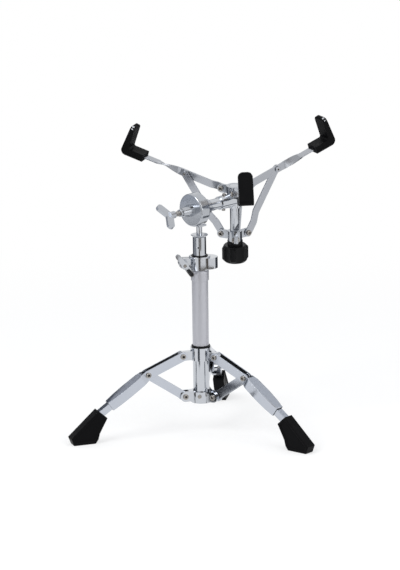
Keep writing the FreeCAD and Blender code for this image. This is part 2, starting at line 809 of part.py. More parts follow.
def leaf_path(start, end, inset):
    """The leaf seen from above, drawn in by an inset."""
    half = s.leaf_width / 2
    right = [(start + (end - start) * along, half * across - inset) for along, across in LEAF_SHARES]
    left = [(x, -y) for x, y in right]
    return left + right[::-1]


def make_leg(name):
    """One pressed leg: two plates to the upper hub, then a leaf-topped channel and a neck for the foot."""
    body = new_piece(f"leg_{name}")
    half = plate_half
    along_x, along_z = cosine(leg_bend), sine(leg_bend)
    mitre = half * sine(leg_bend) / (1 + cosine(leg_bend))
    side = [(s.leg_plate_overlap, -half), (s.leg_plate_overlap, half), (-mitre, half),
            (leg_top_x - half * along_z, leg_top_z + half * along_x),
            (leg_top_x - half * along_x, leg_top_z - half * along_z, half),
            (leg_top_x + half * along_z, leg_top_z - half * along_x, half),
            (mitre, -half)]
    pad(body, outline(body, "XZ_Plane", side), 2 * leg_half_width)
    leaf_end = s.leaf_start + s.leaf_length
    pad(body, outline(body, "XY_Plane", leaf_path(s.leaf_start, leaf_end, sized(0))), s.leaf_height)
    neck_start = leaf_end - s.neck_height / 2
    neck = rectangle(neck_start, -s.neck_width / 2, neck_end, s.neck_width / 2)
    pad(body, outline(body, "XY_Plane", neck), s.neck_height)
    hollow = leaf_path(s.leaf_start - s.leaf_wall, leaf_end - s.leaf_wall - s.neck_height / 2, s.leaf_wall)
    top = s.leaf_height / 2 - s.leaf_wall
    pocket(body, outline(body, "XY_Plane", hollow, top), s.cut_overrun, symmetric=False)
    near = leg_top_x - s.cut_overrun
    far = s.leaf_start + s.leaf_wall
    gap = rectangle(near, -s.cut_overrun, far, s.cut_overrun)
    pocket(body, outline(body, "XZ_Plane", gap), s.leg_plate_gap)
    drill_y(body, 0, 0, s.pivot_diameter + 2 * s.running_gap)
    drill_y(body, leg_top_x, leg_top_z, s.pivot_diameter + 2 * s.seat_gap)
    place(body, *to_leg(name))


def leg_point(radius, height):
    """A point of the upright leg plane, in the leg's own frame."""
    run = radius - mid_pivot_radius
    rise = height - mid_pivot_height
    along, down = cosine(s.leg_lower_angle), sine(s.leg_lower_angle)
    return run * along - rise * down, run * down + rise * along


def make_foot(name):
    """Rubber boot on the leg's neck with a flat sole on the floor."""
    body = new_piece(f"foot_{name}")
    inner = entry_radius - s.foot_length * s.foot_entry_share
    side = [leg_point(inner + s.foot_length * along, foot_height * up) for along, up in FOOT_SHARES]
    pad(body, outline(body, "XZ_Plane", side), s.foot_width)
    half = s.neck_width / 2 + s.seat_gap
    near = s.foot_entry - s.cut_overrun
    far = neck_end + s.seat_gap
    socket = rectangle(near, -half, far, half)
    pocket(body, outline(body, "XY_Plane", socket), s.neck_height + 2 * s.seat_gap)
    place(body, *to_leg(name))


def make_brace(name):
    """Two flat strips side by side, from the lower hub to the leg's mid pivot."""
    body = new_piece(f"brace_{name}", several=True)
    radius = s.brace_width / 2
    start = [(0, radius), (-radius, 0, radius), (0, -radius, radius)]
    pad(body, outline(body, "XZ_Plane", start + round_end(brace_length, sized(0), radius)), strip_span)
    drill_y(body, 0, 0, s.pivot_diameter + 2 * s.running_gap)
    drill_y(body, brace_length, 0, s.pivot_diameter + 2 * s.seat_gap)
    reach = brace_length + s.cut_overrun
    block = rectangle(-s.cut_overrun, -s.cut_overrun, reach, s.cut_overrun)
    pocket(body, outline(body, "XZ_Plane", block), strip_span - 2 * s.brace_thickness)
    place(body, *to_brace(name))


def make_mid_rivet(name):
    body = new_piece(f"mid_rivet_{name}")
    half = leg_half_width + s.side_gap
    make_rivet(body, brace_length, 0, -half, half, s.pivot_diameter, s.rivet_head_diameter)
    place(body, *to_brace(name))


def make_top_rivets(name):
    """The two halves of the rivet at the leg's top, one in each plate."""
    body = new_piece(f"top_rivet_{name}", several=True)
    inner, outer = s.leg_plate_gap / 2, leg_half_width
    head = outer + s.rivet_head_height
    peg(body, leg_top_x, leg_top_z, s.pivot_diameter, inner, outer)
    peg(body, leg_top_x, leg_top_z, s.rivet_head_diameter, outer, head)
    peg(body, leg_top_x, leg_top_z, s.pivot_diameter, -outer, -inner)
    peg(body, leg_top_x, leg_top_z, s.rivet_head_diameter, -head, -outer)
    place(body, *to_leg(name))


# Tilter, drawn with Z along its axis, away from the wing bolt, and X pointing down

def make_front_shell():
    """Drum of the tilter with the wing bolt's boss, and a neck that holds the rod."""
    body = new_piece("tilter_front_shell")
    rim, front, seam = s.tilter_diameter / 2, -s.tilter_front, -s.tilter_seam
    bore = s.tilter_bolt_diameter / 2 + s.running_gap
    recess = seam - s.ratchet_height - s.seat_gap
    ring_in, ring_out = s.ratchet_inner / 2 - s.seat_gap, s.ratchet_outer / 2 + s.seat_gap
    turn(body, [(bore, front - s.tilter_boss_length), (s.tilter_boss_tip / 2, front - s.tilter_boss_length),
                (s.tilter_boss_diameter / 2, front), (rim - s.tilter_edge, front),
                (rim, front + s.tilter_edge, s.tilter_edge), (rim, seam), (ring_out, seam),
                (ring_out, recess), (ring_in, recess), (ring_in, seam), (bore, seam)])
    rear = s.tilter_rear_diameter / 2 + s.side_gap
    half = s.tilter_neck_width / 2
    chin = rim * chin_share
    neck = [(chin, front + s.tilter_edge), (s.tilter_neck_drop, -half), (s.tilter_neck_drop, half),
            (rear, half), (rear, seam), (chin, seam)]
    pad(body, outline(body, "XZ_Plane", neck), s.tilter_neck_width)
    start = s.tilter_neck_drop + 2 * s.side_gap
    rod = circle(body, "YZ_Plane", 0, 0, s.rod_diameter + 2 * s.seat_gap)
    tip_sketch(rod, s.tilter_rise_angle, start)
    pocket(body, rod, start - rear + 2 * s.side_gap, symmetric=False)
    inner = [(ring_out, seam), (ring_out, recess), (ring_in, recess), (ring_in, seam)]
    sketch = outline(body, "XZ_Plane", inner)
    groove = body.newObject("PartDesign::Groove", f"{body.Name}_recess")
    groove.Profile = sketch
    groove.ReferenceAxis = (sketch, ["V_Axis"])
    groove.Angle = 360
    place(body, *to_tilter)


def make_rear_shell():
    """Domed half of the tilter with the socket for the stub tube."""
    body = new_piece("tilter_rear_shell")
    start = -s.tilter_seam + s.tilter_seam_gap
    rim = s.tilter_rear_diameter / 2
    bore = s.tilter_bolt_diameter / 2 + s.running_gap
    socket = s.stub_diameter / 2 + s.tilter_socket_wall
    end = start + s.tilter_rear_depth + s.tilter_socket_length
    floor = end - s.tilter_socket_length
    stub = s.stub_diameter / 2 + s.seat_gap
    recess = start + s.ratchet_height + s.seat_gap
    ring_in, ring_out = s.ratchet_inner / 2 - s.seat_gap, s.ratchet_outer / 2 + s.seat_gap
    dome = [(rim * across, start + s.tilter_rear_depth * along) for across, along in DOME_SHARES]
    inside = [(stub, end), (stub, floor), (bore, floor), (bore, start), (ring_in, start), (ring_in, recess),
              (ring_out, recess)]
    turn(body, [(ring_out, start)] + dome + [(socket, floor), (socket, end)] + inside)
    place(body, *to_tilter)


def make_ratchet_ring(label, face, back, groove_face):
    """Toothed ring let into one half of the tilter, its teeth towards the seam."""
    body = new_piece(label)
    inner, outer = s.ratchet_inner / 2, s.ratchet_outer / 2
    low, high = (back, face) if back.value < face.value else (face, back)
    ring(body, inner, outer, low, high)
    root = groove_face
    width = s.ratchet_tooth
    notch = [(-width, face), (0, root), (width, face)]
    sketch = outline(body, "YZ_Plane", notch)
    cut = pocket(body, sketch, s.cut_overrun, symmetric=False)
    cut.Reversed = True
    around(body, [cut], s.ratchet_tooth_count)
    place(body, *to_tilter)


def make_ratchet_rings():
    front_face = -s.tilter_seam - s.seat_gap
    make_ratchet_ring("front_ratchet_ring", front_face, front_face - s.ratchet_height + s.seat_gap,
                      front_face - s.ratchet_tooth)
    rear_face = -s.tilter_seam + s.tilter_seam_gap + s.seat_gap
    make_ratchet_ring("rear_ratchet_ring", rear_face, rear_face + s.ratchet_height - s.seat_gap,
                      rear_face + s.ratchet_tooth)


def make_tilter_lock_nut():
    """Round nut on the wing bolt, against the end of the boss."""
    body = new_piece("tilter_lock_nut")
    end = -s.tilter_front - s.tilter_boss_length - s.side_gap
    bore = s.tilter_bolt_diameter / 2 + s.seat_gap
    ring(body, bore, s.tilter_nut_diameter / 2, end - s.tilter_nut_length, end)
    place(body, *to_tilter)


def make_tilter_wing_bolt():
    stem = s.tilter_bolt_end + s.tilter_wing_stand_off
    body = make_wing_bolt("tilter_wing_bolt", s.tilter_bolt_diameter, stem, s.tilter_wing_hub,
                          s.tilter_wing_hub, s.tilter_wing_span, s.tilter_wing_depth,
                          s.tilter_wing_thickness, s.tilter_wing_sweep_angle)
    turned = [about_y(180), about_z(s.tilter_wing_turn_angle)]
    place(body, *to_tilter, moved(z=s.tilter_bolt_end), *turned)


def make_stub_tube():
    body = new_piece("stub_tube")
    start = -s.tilter_seam + s.tilter_seam_gap + s.tilter_rear_depth + s.seat_gap
    end = s.post_offset - s.post_clamp_diameter / 2 - s.seat_gap
    ring(body, s.stub_diameter / 2 - s.stub_wall, s.stub_diameter / 2, start, end)
    place(body, *to_tilter)


# Basket carrier: the tee on the stub tube, and the pieces round the post's axis

def make_post_clamp():
    """Tee of the tilter: a barrel on the stub tube and a ring round the post."""
    body = new_piece("post_clamp")
    core = circle(body, "XY_Plane", 0, 0, s.post_clamp_diameter)
    lean_sketch(core, s.post_lean_angle)
    pad(body, core, s.post_clamp_height)
    barrel = circle(body, "YZ_Plane", 0, 0, s.post_clamp_barrel, -s.post_clamp_reach)
    pad(body, barrel, s.post_clamp_reach, symmetric=False)
    stub = circle(body, "YZ_Plane", 0, 0, s.stub_diameter + 2 * s.seat_gap, -s.post_clamp_diameter / 2)
    pocket(body, stub, s.cut_overrun, symmetric=False)
    drill_z(body, -s.post_clamp_reach + s.stub_screw_inset, 0, s.stub_screw_diameter + 2 * s.seat_gap, 0)
    bore = circle(body, "XY_Plane", 0, 0, s.post_diameter + 2 * s.seat_gap)
    lean_sketch(bore, s.post_lean_angle)
    pocket(body, bore, s.cut_overrun)
    place(body, *to_tee)


def make_stub_screws():
    """Screws above and below the barrel that grip the stub tube."""
    body = new_piece("stub_screws", several=True)
    x = -s.post_clamp_reach + s.stub_screw_inset
    inner = s.stub_diameter / 2 + s.seat_gap
    length = s.post_clamp_barrel / 2 + s.stub_screw_proud - inner
    top = circle(body, "XY_Plane", x, 0, s.stub_screw_diameter, inner)
    pad(body, top, length, symmetric=False)
    bottom = circle(body, "XY_Plane", x, 0, s.stub_screw_diameter, -inner - length)
    pad(body, bottom, length, symmetric=False)
    place(body, *to_tee)


def make_basket_post():
    body = new_piece("basket_post")
    bore = s.thread_diameter / 2 + s.seat_gap
    seat = post_bottom + s.thread_seat + s.seat_gap
    turn(body, [(0, seat), (bore, seat), (bore, post_bottom), (post_radius, post_bottom),
                (post_radius, post_top), (0, post_top)])
    place(body, *to_post)


def make_threaded_rod():
    body = new_piece("threaded_rod")
    radius, low, top = s.thread_diameter / 2, knob_bottom + s.thread_inset, post_bottom + s.thread_seat
    turn(body, [(0, low), (radius, low), (radius, top), (0, top)])
    place(body, *to_post)


def make_eared_ring(label, diameter, low, high, ear_start, pivot_radius, pivot_height, bore):
    """A ring round the post with an ear for each arm or strut, which starts inside the ring's rim."""
    body = new_piece(label)
    core = diameter / 2
    turn(body, [(0, low), (core, low), (core, high), (0, high)])
    x, z, radius = pivot_radius, pivot_height, s.ear_radius
    lug = [(ear_start, z - radius)] + round_end(x, z, radius) + [(ear_start, z + radius)]
    ear = pad(body, outline(body, "XZ_Plane", lug), s.ear_thickness)
    hole = drill_y(body, x, z, s.pivot_diameter + 2 * s.seat_gap)
    around(body, [ear, hole], s.arm_count)
    drill_z(body, 0, 0, s.post_diameter + 2 * bore, z)
    place(body, *to_post, about_z(s.front_arm_angle))


def make_top_hub():
    low = s.tilter_height + s.post_clamp_height / 2 + s.seat_gap
    ear_start = s.post_clamp_diameter / 2 + s.side_gap
    make_eared_ring("top_hub", s.top_hub_diameter, low, post_top, ear_start, s.arm_pivot_radius,
                    arm_pivot_height, s.seat_gap)


def make_lower_collar():
    make_eared_ring("lower_collar", s.collar_diameter, collar_bottom, collar_top, post_radius,
                    s.collar_pivot_radius, collar_pivot_height, s.running_gap)


def make_ear_rivets(label, pivot_radius, pivot_height, bar_thickness):
    """Rivets through the ears and the bars that hang beside them."""
    body = new_piece(label, several=True)
    low = -s.ear_thickness / 2 - 2 * s.side_gap - bar_thickness
    rivet = make_rivet(body, pivot_radius, pivot_height, low, s.ear_thickness / 2, s.pivot_diameter,
                       s.rivet_head_diameter)
    around(body, rivet, s.arm_count)
    place(body, *to_post, about_z(s.front_arm_angle))


# Basket

def joggled_bar(body, start, end, thickness, width, step_start, step_end, inner_face, outer_face):
    """A flat bar on edge whose plane steps sideways between two distances."""
    inner, outer = inner_face, outer_face
    plan = [(start, inner), (step_start, inner), (step_end, outer), (end, outer), (end, outer + thickness),
            (step_end, outer + thickness), (step_start, inner + thickness), (start, inner + thickness)]
    return pad(body, outline(body, "XY_Plane", plan), width)


def round_bar_end(body, feature, x, half):
    """Round a bar's end about the pivot, on the edges at its upper and lower corners."""
    near = s.side_gap.value

    def at_corner(point, edge):
        return abs(point.x - x.value) < near and abs(abs(point.z) - half.value) < near

    return soften(body, feature, half - s.side_gap, at_corner)


def make_arm(name):
    """A flat bar on edge at the hub, twisted a quarter turn to lie flat in its grip."""
    body = new_piece(f"arm_{name}")
    half = s.arm_width / 2
    inner = -s.ear_thickness / 2 - s.side_gap - s.arm_thickness
    bar = joggled_bar(body, -half, s.arm_twist_start, s.arm_thickness, s.arm_width, s.arm_joggle_start,
                      s.arm_joggle_end, inner, -s.arm_thickness / 2)
    round_bar_end(body, bar, -half, half)
    sections = []
    steps = int(s.arm_twist_count.value)
    for step in range(steps + 1):
        section = outline(body, "YZ_Plane", twisted_section(s.arm_twist_angle * (step / steps)),
                          s.arm_twist_start + s.arm_twist_length * (step / steps))
        sections.append(section)
    loft = body.newObject("PartDesign::AdditiveLoft", f"{body.Name}_twist")
    loft.Profile = sections[0]
    loft.Sections = sections[1:]
    loft.Ruled = True
    flat_start = s.arm_twist_start + s.arm_twist_length
    flat = rectangle(flat_start, -half, s.arm_length, half)
    pad(body, outline(body, "XY_Plane", flat), s.arm_thickness)
    drill_y(body, 0, 0, s.pivot_diameter + 2 * s.running_gap)
    drill_y(body, s.arm_strut_distance, 0, s.strut_pin_diameter + 2 * s.strut_pin_slack)
    place(body, *to_arm(name))


def twisted_section(angle):
    """The bar's cross-section turned by an angle about the arm's line."""
    half, thick = s.arm_width / 2, s.arm_thickness / 2
    corners = [(-thick, -half), (thick, -half), (thick, half), (-thick, half)]
    turn_cos, turn_sin = cosine(angle), sine(angle)
    return [(y * turn_cos - z * turn_sin, y * turn_sin + z * turn_cos) for y, z in corners]


def make_grip(name):
    """Rubber L that slips over the arm's flat end and hooks the drum's hoop."""
    body = new_piece(f"grip_{name}")
    half = s.grip_thickness / 2
    start = grip_outer - s.grip_length
    corner, tip, fillet = s.grip_corner, s.grip_top_round, s.grip_inner_round
    lean_cos, lean_sin = cosine(s.grip_lean_angle), sine(s.grip_lean_angle)
    centre_x, centre_z = grip_outer - corner, corner - half
    height = (s.grip_rise - centre_z) / lean_cos

    def hook(out, up):
        """A point of the leaning hook, from the centre of its outer corner."""
        return centre_x + out * lean_cos - up * lean_sin, centre_z + out * lean_sin + up * lean_cos

    face, end = corner - s.grip_thickness, corner - s.grip_taper
    bend_x = centre_x + (face - fillet - (half + fillet - centre_z) * lean_sin) / lean_cos
    bend_z = half + fillet
    side = [(start, -half), (centre_x, -half), (*hook(corner, 0), corner), hook(end, height - tip),
            (*hook(end - tip, height), tip), hook(face + tip, height), (*hook(face, height - tip), tip),
            (bend_x + fillet * lean_cos, bend_z + fillet * lean_sin), (bend_x, half, -fillet),
            (start, half)]
    pad(body, outline(body, "XZ_Plane", side), s.grip_width)
    slot = s.arm_width / 2 + s.seat_gap
    near = start - s.cut_overrun
    far = s.arm_length + s.seat_gap
    mouth = rectangle(near, -slot, far, slot)
    pocket(body, outline(body, "XY_Plane", mouth), s.arm_thickness + 2 * s.seat_gap)
    side, top, crown = s.grip_width / 2, s.grip_rise, s.grip_crown
    for hand in (1, -1):
        corner = [(hand * side, top - crown), (hand * (side - crown), top, hand * crown),
                  (hand * (side - crown), top + crown), (hand * (side + crown), top + crown),
                  (hand * (side + crown), top - crown)]
        pocket(body, outline(body, "YZ_Plane", corner, grip_outer), s.cut_overrun)
    place(body, *to_arm(name))


def make_strut(name):
    """Flat strip from the lower collar to the arm, stepped sideways to reach the arm's face."""
    body = new_piece(f"strut_{name}")
    half = s.strut_width / 2
    inner = -s.ear_thickness / 2 - s.side_gap - s.strut_thickness
    outer = s.arm_thickness / 2 + s.side_gap
    bar = joggled_bar(body, -half, strut_length + half, s.strut_thickness, s.strut_width,
                      s.strut_joggle_start, s.strut_joggle_end, inner, outer)
    bar = round_bar_end(body, bar, -half, half)
    round_bar_end(body, bar, strut_length + half, half)
    drill_y(body, 0, 0, s.pivot_diameter + 2 * s.running_gap)
    drill_y(body, strut_length, 0, s.strut_pin_diameter + 2 * s.seat_gap)
    place(body, *to_strut(name))


def make_strut_rivet(name):
    """Rivet set in the strut that passes the arm's wide hole."""
    body = new_piece(f"strut_rivet_{name}")
    half = s.arm_thickness / 2 + s.side_gap
    make_rivet(body, strut_length, 0, -half, half + s.strut_thickness, s.strut_pin_diameter,
               s.strut_head_diameter)
    place(body, *to_strut(name))


def make_tension_knob():
    """Lobed knob on the threaded rod whose neck pushes the collar up."""
    body = new_piece("tension_knob")
    rim, low, top = s.knob_diameter / 2, knob_bottom, knob_top
    high = low + s.knob_height
    thread = s.thread_diameter / 2 + s.running_gap
    clear = post_radius + s.side_gap
    neck = s.knob_neck_diameter / 2
    shoulder = low + s.knob_thread_length
    turn(body, [(thread, low), (rim * knob_rim_share, low), (rim, low + s.knob_edge),
                (rim, high - s.knob_edge), (rim * knob_rim_share, high), (neck, high), (neck, top),
                (clear, top), (clear, shoulder), (thread, shoulder)])
    scallop = circle(body, "XY_Plane", s.knob_scallop_radius, 0, s.knob_scallop_diameter, high)
    cut = pocket(body, scallop, s.cut_overrun, symmetric=False)
    around(body, [cut], s.knob_lobe_count)
    place(body, *to_post)


make_base_tube()
make_tube_sleeve()
make_lower_hub()
make_lower_hub_screw()
make_lower_hub_rivets()
make_height_clamp()
make_clamp_bushing()
make_clamp_bolt()
make_clamp_lever()
make_upper_tube()
make_tube_cap()
make_cross_pin()
make_tilter_rod()
make_upper_hub()
make_hub_ring()
make_hub_wing_bolt()
for leg_name in LEG_NAMES:
    make_leg(leg_name)
    make_foot(leg_name)
    make_brace(leg_name)
    make_mid_rivet(leg_name)
    make_top_rivets(leg_name)
make_front_shell()
make_rear_shell()
make_ratchet_rings()
make_tilter_lock_nut()
make_tilter_wing_bolt()
make_stub_tube()
make_post_clamp()
make_stub_screws()
make_basket_post()
make_threaded_rod()
make_top_hub()
make_lower_collar()
make_ear_rivets("arm_rivets", s.arm_pivot_radius, arm_pivot_height, s.arm_thickness)
make_ear_rivets("collar_rivets", s.collar_pivot_radius, collar_pivot_height, s.strut_thickness)
for arm_name in ARM_NAMES:
    make_arm(arm_name)
    make_grip(arm_name)
    make_strut(arm_name)
    make_strut_rivet(arm_name)
make_tension_knob()

doc.recompute()

failed = [part.Label for part in doc.Objects if "Invalid" in part.State or "Error" in part.State]
failed += [piece.Label for piece in pieces if piece.Shape.isNull() or not piece.Shape.isValid()]
if failed:
    raise RuntimeError(f"These objects failed: {failed}")

os.makedirs("parts", exist_ok=True)
for piece in pieces:
    piece.Shape.exportStep(f"parts/{piece.Label}.step")
    print(piece.Label, len(piece.Shape.Solids), round(piece.Shape.Volume, 1))
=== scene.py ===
import json
import math

import bmesh
import bpy
from mathutils import Matrix, Vector


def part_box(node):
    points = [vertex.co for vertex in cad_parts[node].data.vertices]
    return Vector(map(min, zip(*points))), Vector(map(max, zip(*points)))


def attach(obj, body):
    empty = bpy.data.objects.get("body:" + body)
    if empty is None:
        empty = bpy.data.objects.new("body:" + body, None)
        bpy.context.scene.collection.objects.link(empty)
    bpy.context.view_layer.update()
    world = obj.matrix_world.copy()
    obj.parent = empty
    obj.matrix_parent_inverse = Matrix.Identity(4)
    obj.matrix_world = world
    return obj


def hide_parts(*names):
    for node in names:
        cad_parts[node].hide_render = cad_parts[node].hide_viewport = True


# Snare drum stand: chromed tripod, column, tilter and basket with rubber grips and feet.
# Metres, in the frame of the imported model: the column's axis is Z and the floor is at zero.

MM = 0.001

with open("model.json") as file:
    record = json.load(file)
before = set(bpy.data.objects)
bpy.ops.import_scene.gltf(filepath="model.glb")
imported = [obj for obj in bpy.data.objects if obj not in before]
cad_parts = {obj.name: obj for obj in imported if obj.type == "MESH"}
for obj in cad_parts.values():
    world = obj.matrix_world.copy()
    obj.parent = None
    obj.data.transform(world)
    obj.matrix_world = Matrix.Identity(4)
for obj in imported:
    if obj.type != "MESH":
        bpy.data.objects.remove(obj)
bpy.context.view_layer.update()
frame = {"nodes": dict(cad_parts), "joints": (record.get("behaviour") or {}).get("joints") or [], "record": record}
nodes = frame["nodes"]
record = frame["record"]
joints = {joint["name"]: joint for joint in frame["joints"]}
bodies = record["behaviour"]["bodies"]
body_of_node = {node: body for body, members in bodies.items() for node in members}

LEG_NAMES = ["rear", "left", "right"]
ARM_NAMES = ["front", "right", "left"]


def put_in_scene(name, data):
    """A new object, linked into the scene."""
    item = bpy.data.objects.new(name, data)
    bpy.context.scene.collection.objects.link(item)
    return item


def new_mesh(name, shape):
    """A mesh from a shape that is then done with."""
    mesh = bpy.data.meshes.new(name)
    shape.to_mesh(mesh)
    shape.free()
    return mesh


# Shader groups

SMUDGE_SCALE = 40.0
PEEL_SCALE = 260.0
PATCH_SCALE = 45.0
GRAIN_SCALE = 1400.0
CLOUD_DETAIL = 4.0
PEEL_DETAIL = 1.0
GRAIN_DETAIL = 2.0
CLOUD_LOW = 0.35
CLOUD_HIGH = 0.65


def new_group(name, inputs, outputs):
    """An empty shader group with float inputs and the given outputs."""
    group = bpy.data.node_groups.new(name, "ShaderNodeTree")
    for label, value in inputs.items():
        socket = group.interface.new_socket(label, in_out="INPUT", socket_type="NodeSocketFloat")
        socket.default_value = value
    for label, kind in outputs.items():
        group.interface.new_socket(label, in_out="OUTPUT", socket_type=kind)
    start = group.nodes.new("NodeGroupInput")
    end = group.nodes.new("NodeGroupOutput")
    return group, start, end


def noise(tree, coordinates, scale, detail):
    """Noise at a scale that comes from a socket."""
    node = tree.nodes.new("ShaderNodeTexNoise")
    node.inputs["Detail"].default_value = detail
    tree.links.new(coordinates, node.inputs["Vector"])
    tree.links.new(scale, node.inputs["Scale"])
    return node.outputs["Fac"]


def spread(tree, clouds, low, high):
    """Map the middle of a noise onto a range whose ends are sockets."""
    node = tree.nodes.new("ShaderNodeMapRange")
    node.inputs["From Min"].default_value = CLOUD_LOW
    node.inputs["From Max"].default_value = CLOUD_HIGH
    tree.links.new(clouds, node.inputs["Value"])
    tree.links.new(low, node.inputs["To Min"])
    tree.links.new(high, node.inputs["To Max"])
    return node.outputs["Result"]


def make_polish_group():
    """Plating that has been handled: soft smudges in the gloss, and a very slight orange peel."""
    group, start, end = new_group(
        "handled_plating",
        {"Smudge Scale": SMUDGE_SCALE, "Gloss Roughness": 0.05, "Smudge Roughness": 0.12,
         "Peel Scale": PEEL_SCALE},
        {"Roughness": "NodeSocketFloat", "Height": "NodeSocketFloat", "Smudge": "NodeSocketFloat"})
    place = group.nodes.new("ShaderNodeTexCoord").outputs["Object"]
    smudge = noise(group, place, start.outputs["Smudge Scale"], CLOUD_DETAIL)
    rough = spread(group, smudge, start.outputs["Gloss Roughness"], start.outputs["Smudge Roughness"])
    peel = noise(group, place, start.outputs["Peel Scale"], PEEL_DETAIL)
    group.links.new(rough, end.inputs["Roughness"])
    group.links.new(peel, end.inputs["Height"])
    group.links.new(smudge, end.inputs["Smudge"])
    return group


def make_moulding_group():
    """Moulded rubber or plastic: fine grain, and dull patches where it has been rubbed."""
    group, start, end = new_group(
        "moulded_grain",
        {"Grain Scale": GRAIN_SCALE, "Patch Scale": PATCH_SCALE, "Gloss Roughness": 0.4,
         "Dull Roughness": 0.6},
        {"Roughness": "NodeSocketFloat", "Height": "NodeSocketFloat", "Patch": "NodeSocketFloat"})
    place = group.nodes.new("ShaderNodeTexCoord").outputs["Object"]
    patch = noise(group, place, start.outputs["Patch Scale"], CLOUD_DETAIL)
    rough = spread(group, patch, start.outputs["Gloss Roughness"], start.outputs["Dull Roughness"])
    grain = noise(group, place, start.outputs["Grain Scale"], GRAIN_DETAIL)
    group.links.new(rough, end.inputs["Roughness"])
    group.links.new(grain, end.inputs["Height"])
    group.links.new(patch, end.inputs["Patch"])
    return group


# Materials

METAL = 1.0
NO_METAL = 0.0
PLAIN_SHEEN = 0.5


def make_material(name, group, settings, mask, tints, metallic, bump_height, sheen):
    """A material whose gloss, tint and grain come from a shared group."""
    material = bpy.data.materials.new(name)
    material.use_nodes = True
    tree = material.node_tree
    shader = tree.nodes["Principled BSDF"]
    finish = tree.nodes.new("ShaderNodeGroup")
    finish.node_tree = group
    for label, value in settings.items():
        finish.inputs[label].default_value = value
    ramp = tree.nodes.new("ShaderNodeValToRGB")
    for stop, tint in zip(ramp.color_ramp.elements, tints):
        stop.color = (*tint, 1)
    bump = tree.nodes.new("ShaderNodeBump")
    bump.inputs["Distance"].default_value = bump_height
    tree.links.new(finish.outputs[mask], ramp.inputs["Fac"])
    tree.links.new(ramp.outputs["Color"], shader.inputs["Base Color"])
    tree.links.new(finish.outputs["Roughness"], shader.inputs["Roughness"])
    tree.links.new(finish.outputs["Height"], bump.inputs["Height"])
    tree.links.new(bump.outputs["Normal"], shader.inputs["Normal"])
    shader.inputs["Metallic"].default_value = metallic
    shader.inputs["Specular IOR Level"].default_value = sheen
    return material


polish = make_polish_group()
moulding = make_moulding_group()


def plating(name, gloss, handled, tints, peel, smudge_scale=SMUDGE_SCALE):
    """Plated steel: roughness where clean and where handled, two tints and the height of its peel."""
    settings = {"Gloss Roughness": gloss, "Smudge Roughness": handled, "Smudge Scale": smudge_scale}
    return make_material(name, polish, settings, "Smudge", tints, METAL, peel, PLAIN_SHEEN)


def moulded(name, gloss, dull, tints, grain, sheen, grain_scale=GRAIN_SCALE):
    """Rubber or plastic: roughness where smooth and where rubbed, two tints, grain and sheen."""
    settings = {"Gloss Roughness": gloss, "Dull Roughness": dull, "Grain Scale": grain_scale}
    return make_material(name, moulding, settings, "Patch", tints, NO_METAL, grain, sheen)


mirror_chrome = plating(
    "mirror_chrome", 0.04, 0.09, [(0.50, 0.52, 0.555), (0.57, 0.59, 0.62)], 0.004 * MM)
satin_chrome = plating(
    "satin_chrome", 0.36, 0.46, [(0.465, 0.47, 0.51), (0.535, 0.54, 0.58)], 0.004 * MM)
plate_chrome = plating(
    "plate_chrome", 0.08, 0.16, [(0.47, 0.50, 0.56), (0.54, 0.565, 0.615)], 0.006 * MM)
arm_chrome = plating(
    "arm_chrome", 0.1, 0.2, [(0.375, 0.39, 0.425), (0.435, 0.45, 0.48)], 0.006 * MM)
# Painted shade: a darker, rougher copy of the arm's chrome for the faces of each twist.
shaded_twist_chrome = plating(
    "shaded_twist_chrome", 0.34, 0.44, [(0.27, 0.285, 0.31), (0.34, 0.35, 0.375)], 0.01 * MM)
cast_chrome = plating(
    "cast_chrome", 0.12, 0.2, [(0.40, 0.42, 0.455), (0.47, 0.49, 0.52)], 0.006 * MM)
zinc_steel = plating(
    "zinc_steel", 0.2, 0.34, [(0.27, 0.255, 0.24), (0.42, 0.40, 0.375)], 0.01 * MM, smudge_scale=120.0)
# Painted shade: a near-black finish put on insides, recesses and bores where shade falls.
painted_shade_inside = plating(
    "painted_shade_inside", 0.45, 0.6, [(0.03, 0.032, 0.036), (0.06, 0.062, 0.066)], 0.02 * MM)
black_rubber = moulded(
    "black_rubber", 0.36, 0.52, [(0.0025, 0.0025, 0.003), (0.005, 0.005, 0.0055)], 0.008 * MM, 0.05)
black_plastic = moulded(
    "black_plastic", 0.28, 0.42, [(0.003, 0.003, 0.0035), (0.006, 0.006, 0.0065)], 0.006 * MM, 0.12,
    grain_scale=2200.0)


# Pieces

WELD_GAP = 0.004 * MM
FLAT_ANGLE = math.radians(0.6)
EDGE_ANGLE = math.radians(32)
EDGE_SEGMENTS = 2


def add_piece(name, mesh, body, replaced=()):
    """Put a finished mesh on its body in place of the nodes that it stands for."""
    piece = put_in_scene(name, mesh)
    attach(piece, body)
    if replaced:
        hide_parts(*replaced)
    return piece


def node_shape(node):
    """A copy of a node's mesh with its loose triangles joined into whole faces."""
    shape = bmesh.new()
    shape.from_mesh(nodes[node].data)
    bmesh.ops.remove_doubles(shape, verts=shape.verts, dist=WELD_GAP)
    bmesh.ops.dissolve_limit(shape, angle_limit=FLAT_ANGLE, verts=shape.verts, edges=shape.edges)
    shape.normal_update()
    return shape


def soften_edges(piece, width):
    """Round the edges of a piece, and keep its flats flat in the light."""
    for polygon in piece.data.polygons:
        polygon.use_smooth = True
    bevel = piece.modifiers.new("rounded edges", "BEVEL")
    bevel.width = width
    bevel.segments = EDGE_SEGMENTS
    bevel.limit_method = "ANGLE"
    bevel.angle_limit = EDGE_ANGLE
    bevel.miter_outer = "MITER_ARC"
    normals = piece.modifiers.new("flat faces", "WEIGHTED_NORMAL")
    normals.keep_sharp = False


def finish_node(node, materials, width, detail=None):
    """A node's own shape with its details and rounded edges."""
    shape = node_shape(node)
    if detail:
        detail(shape, node)
    mesh = new_mesh(f"{node}_form", shape)
    for material in materials:
        mesh.materials.append(material)
    piece = add_piece(f"{node}_finish", mesh, body_of_node[node], [node])
    soften_edges(piece, width)


# Places and directions on the stand

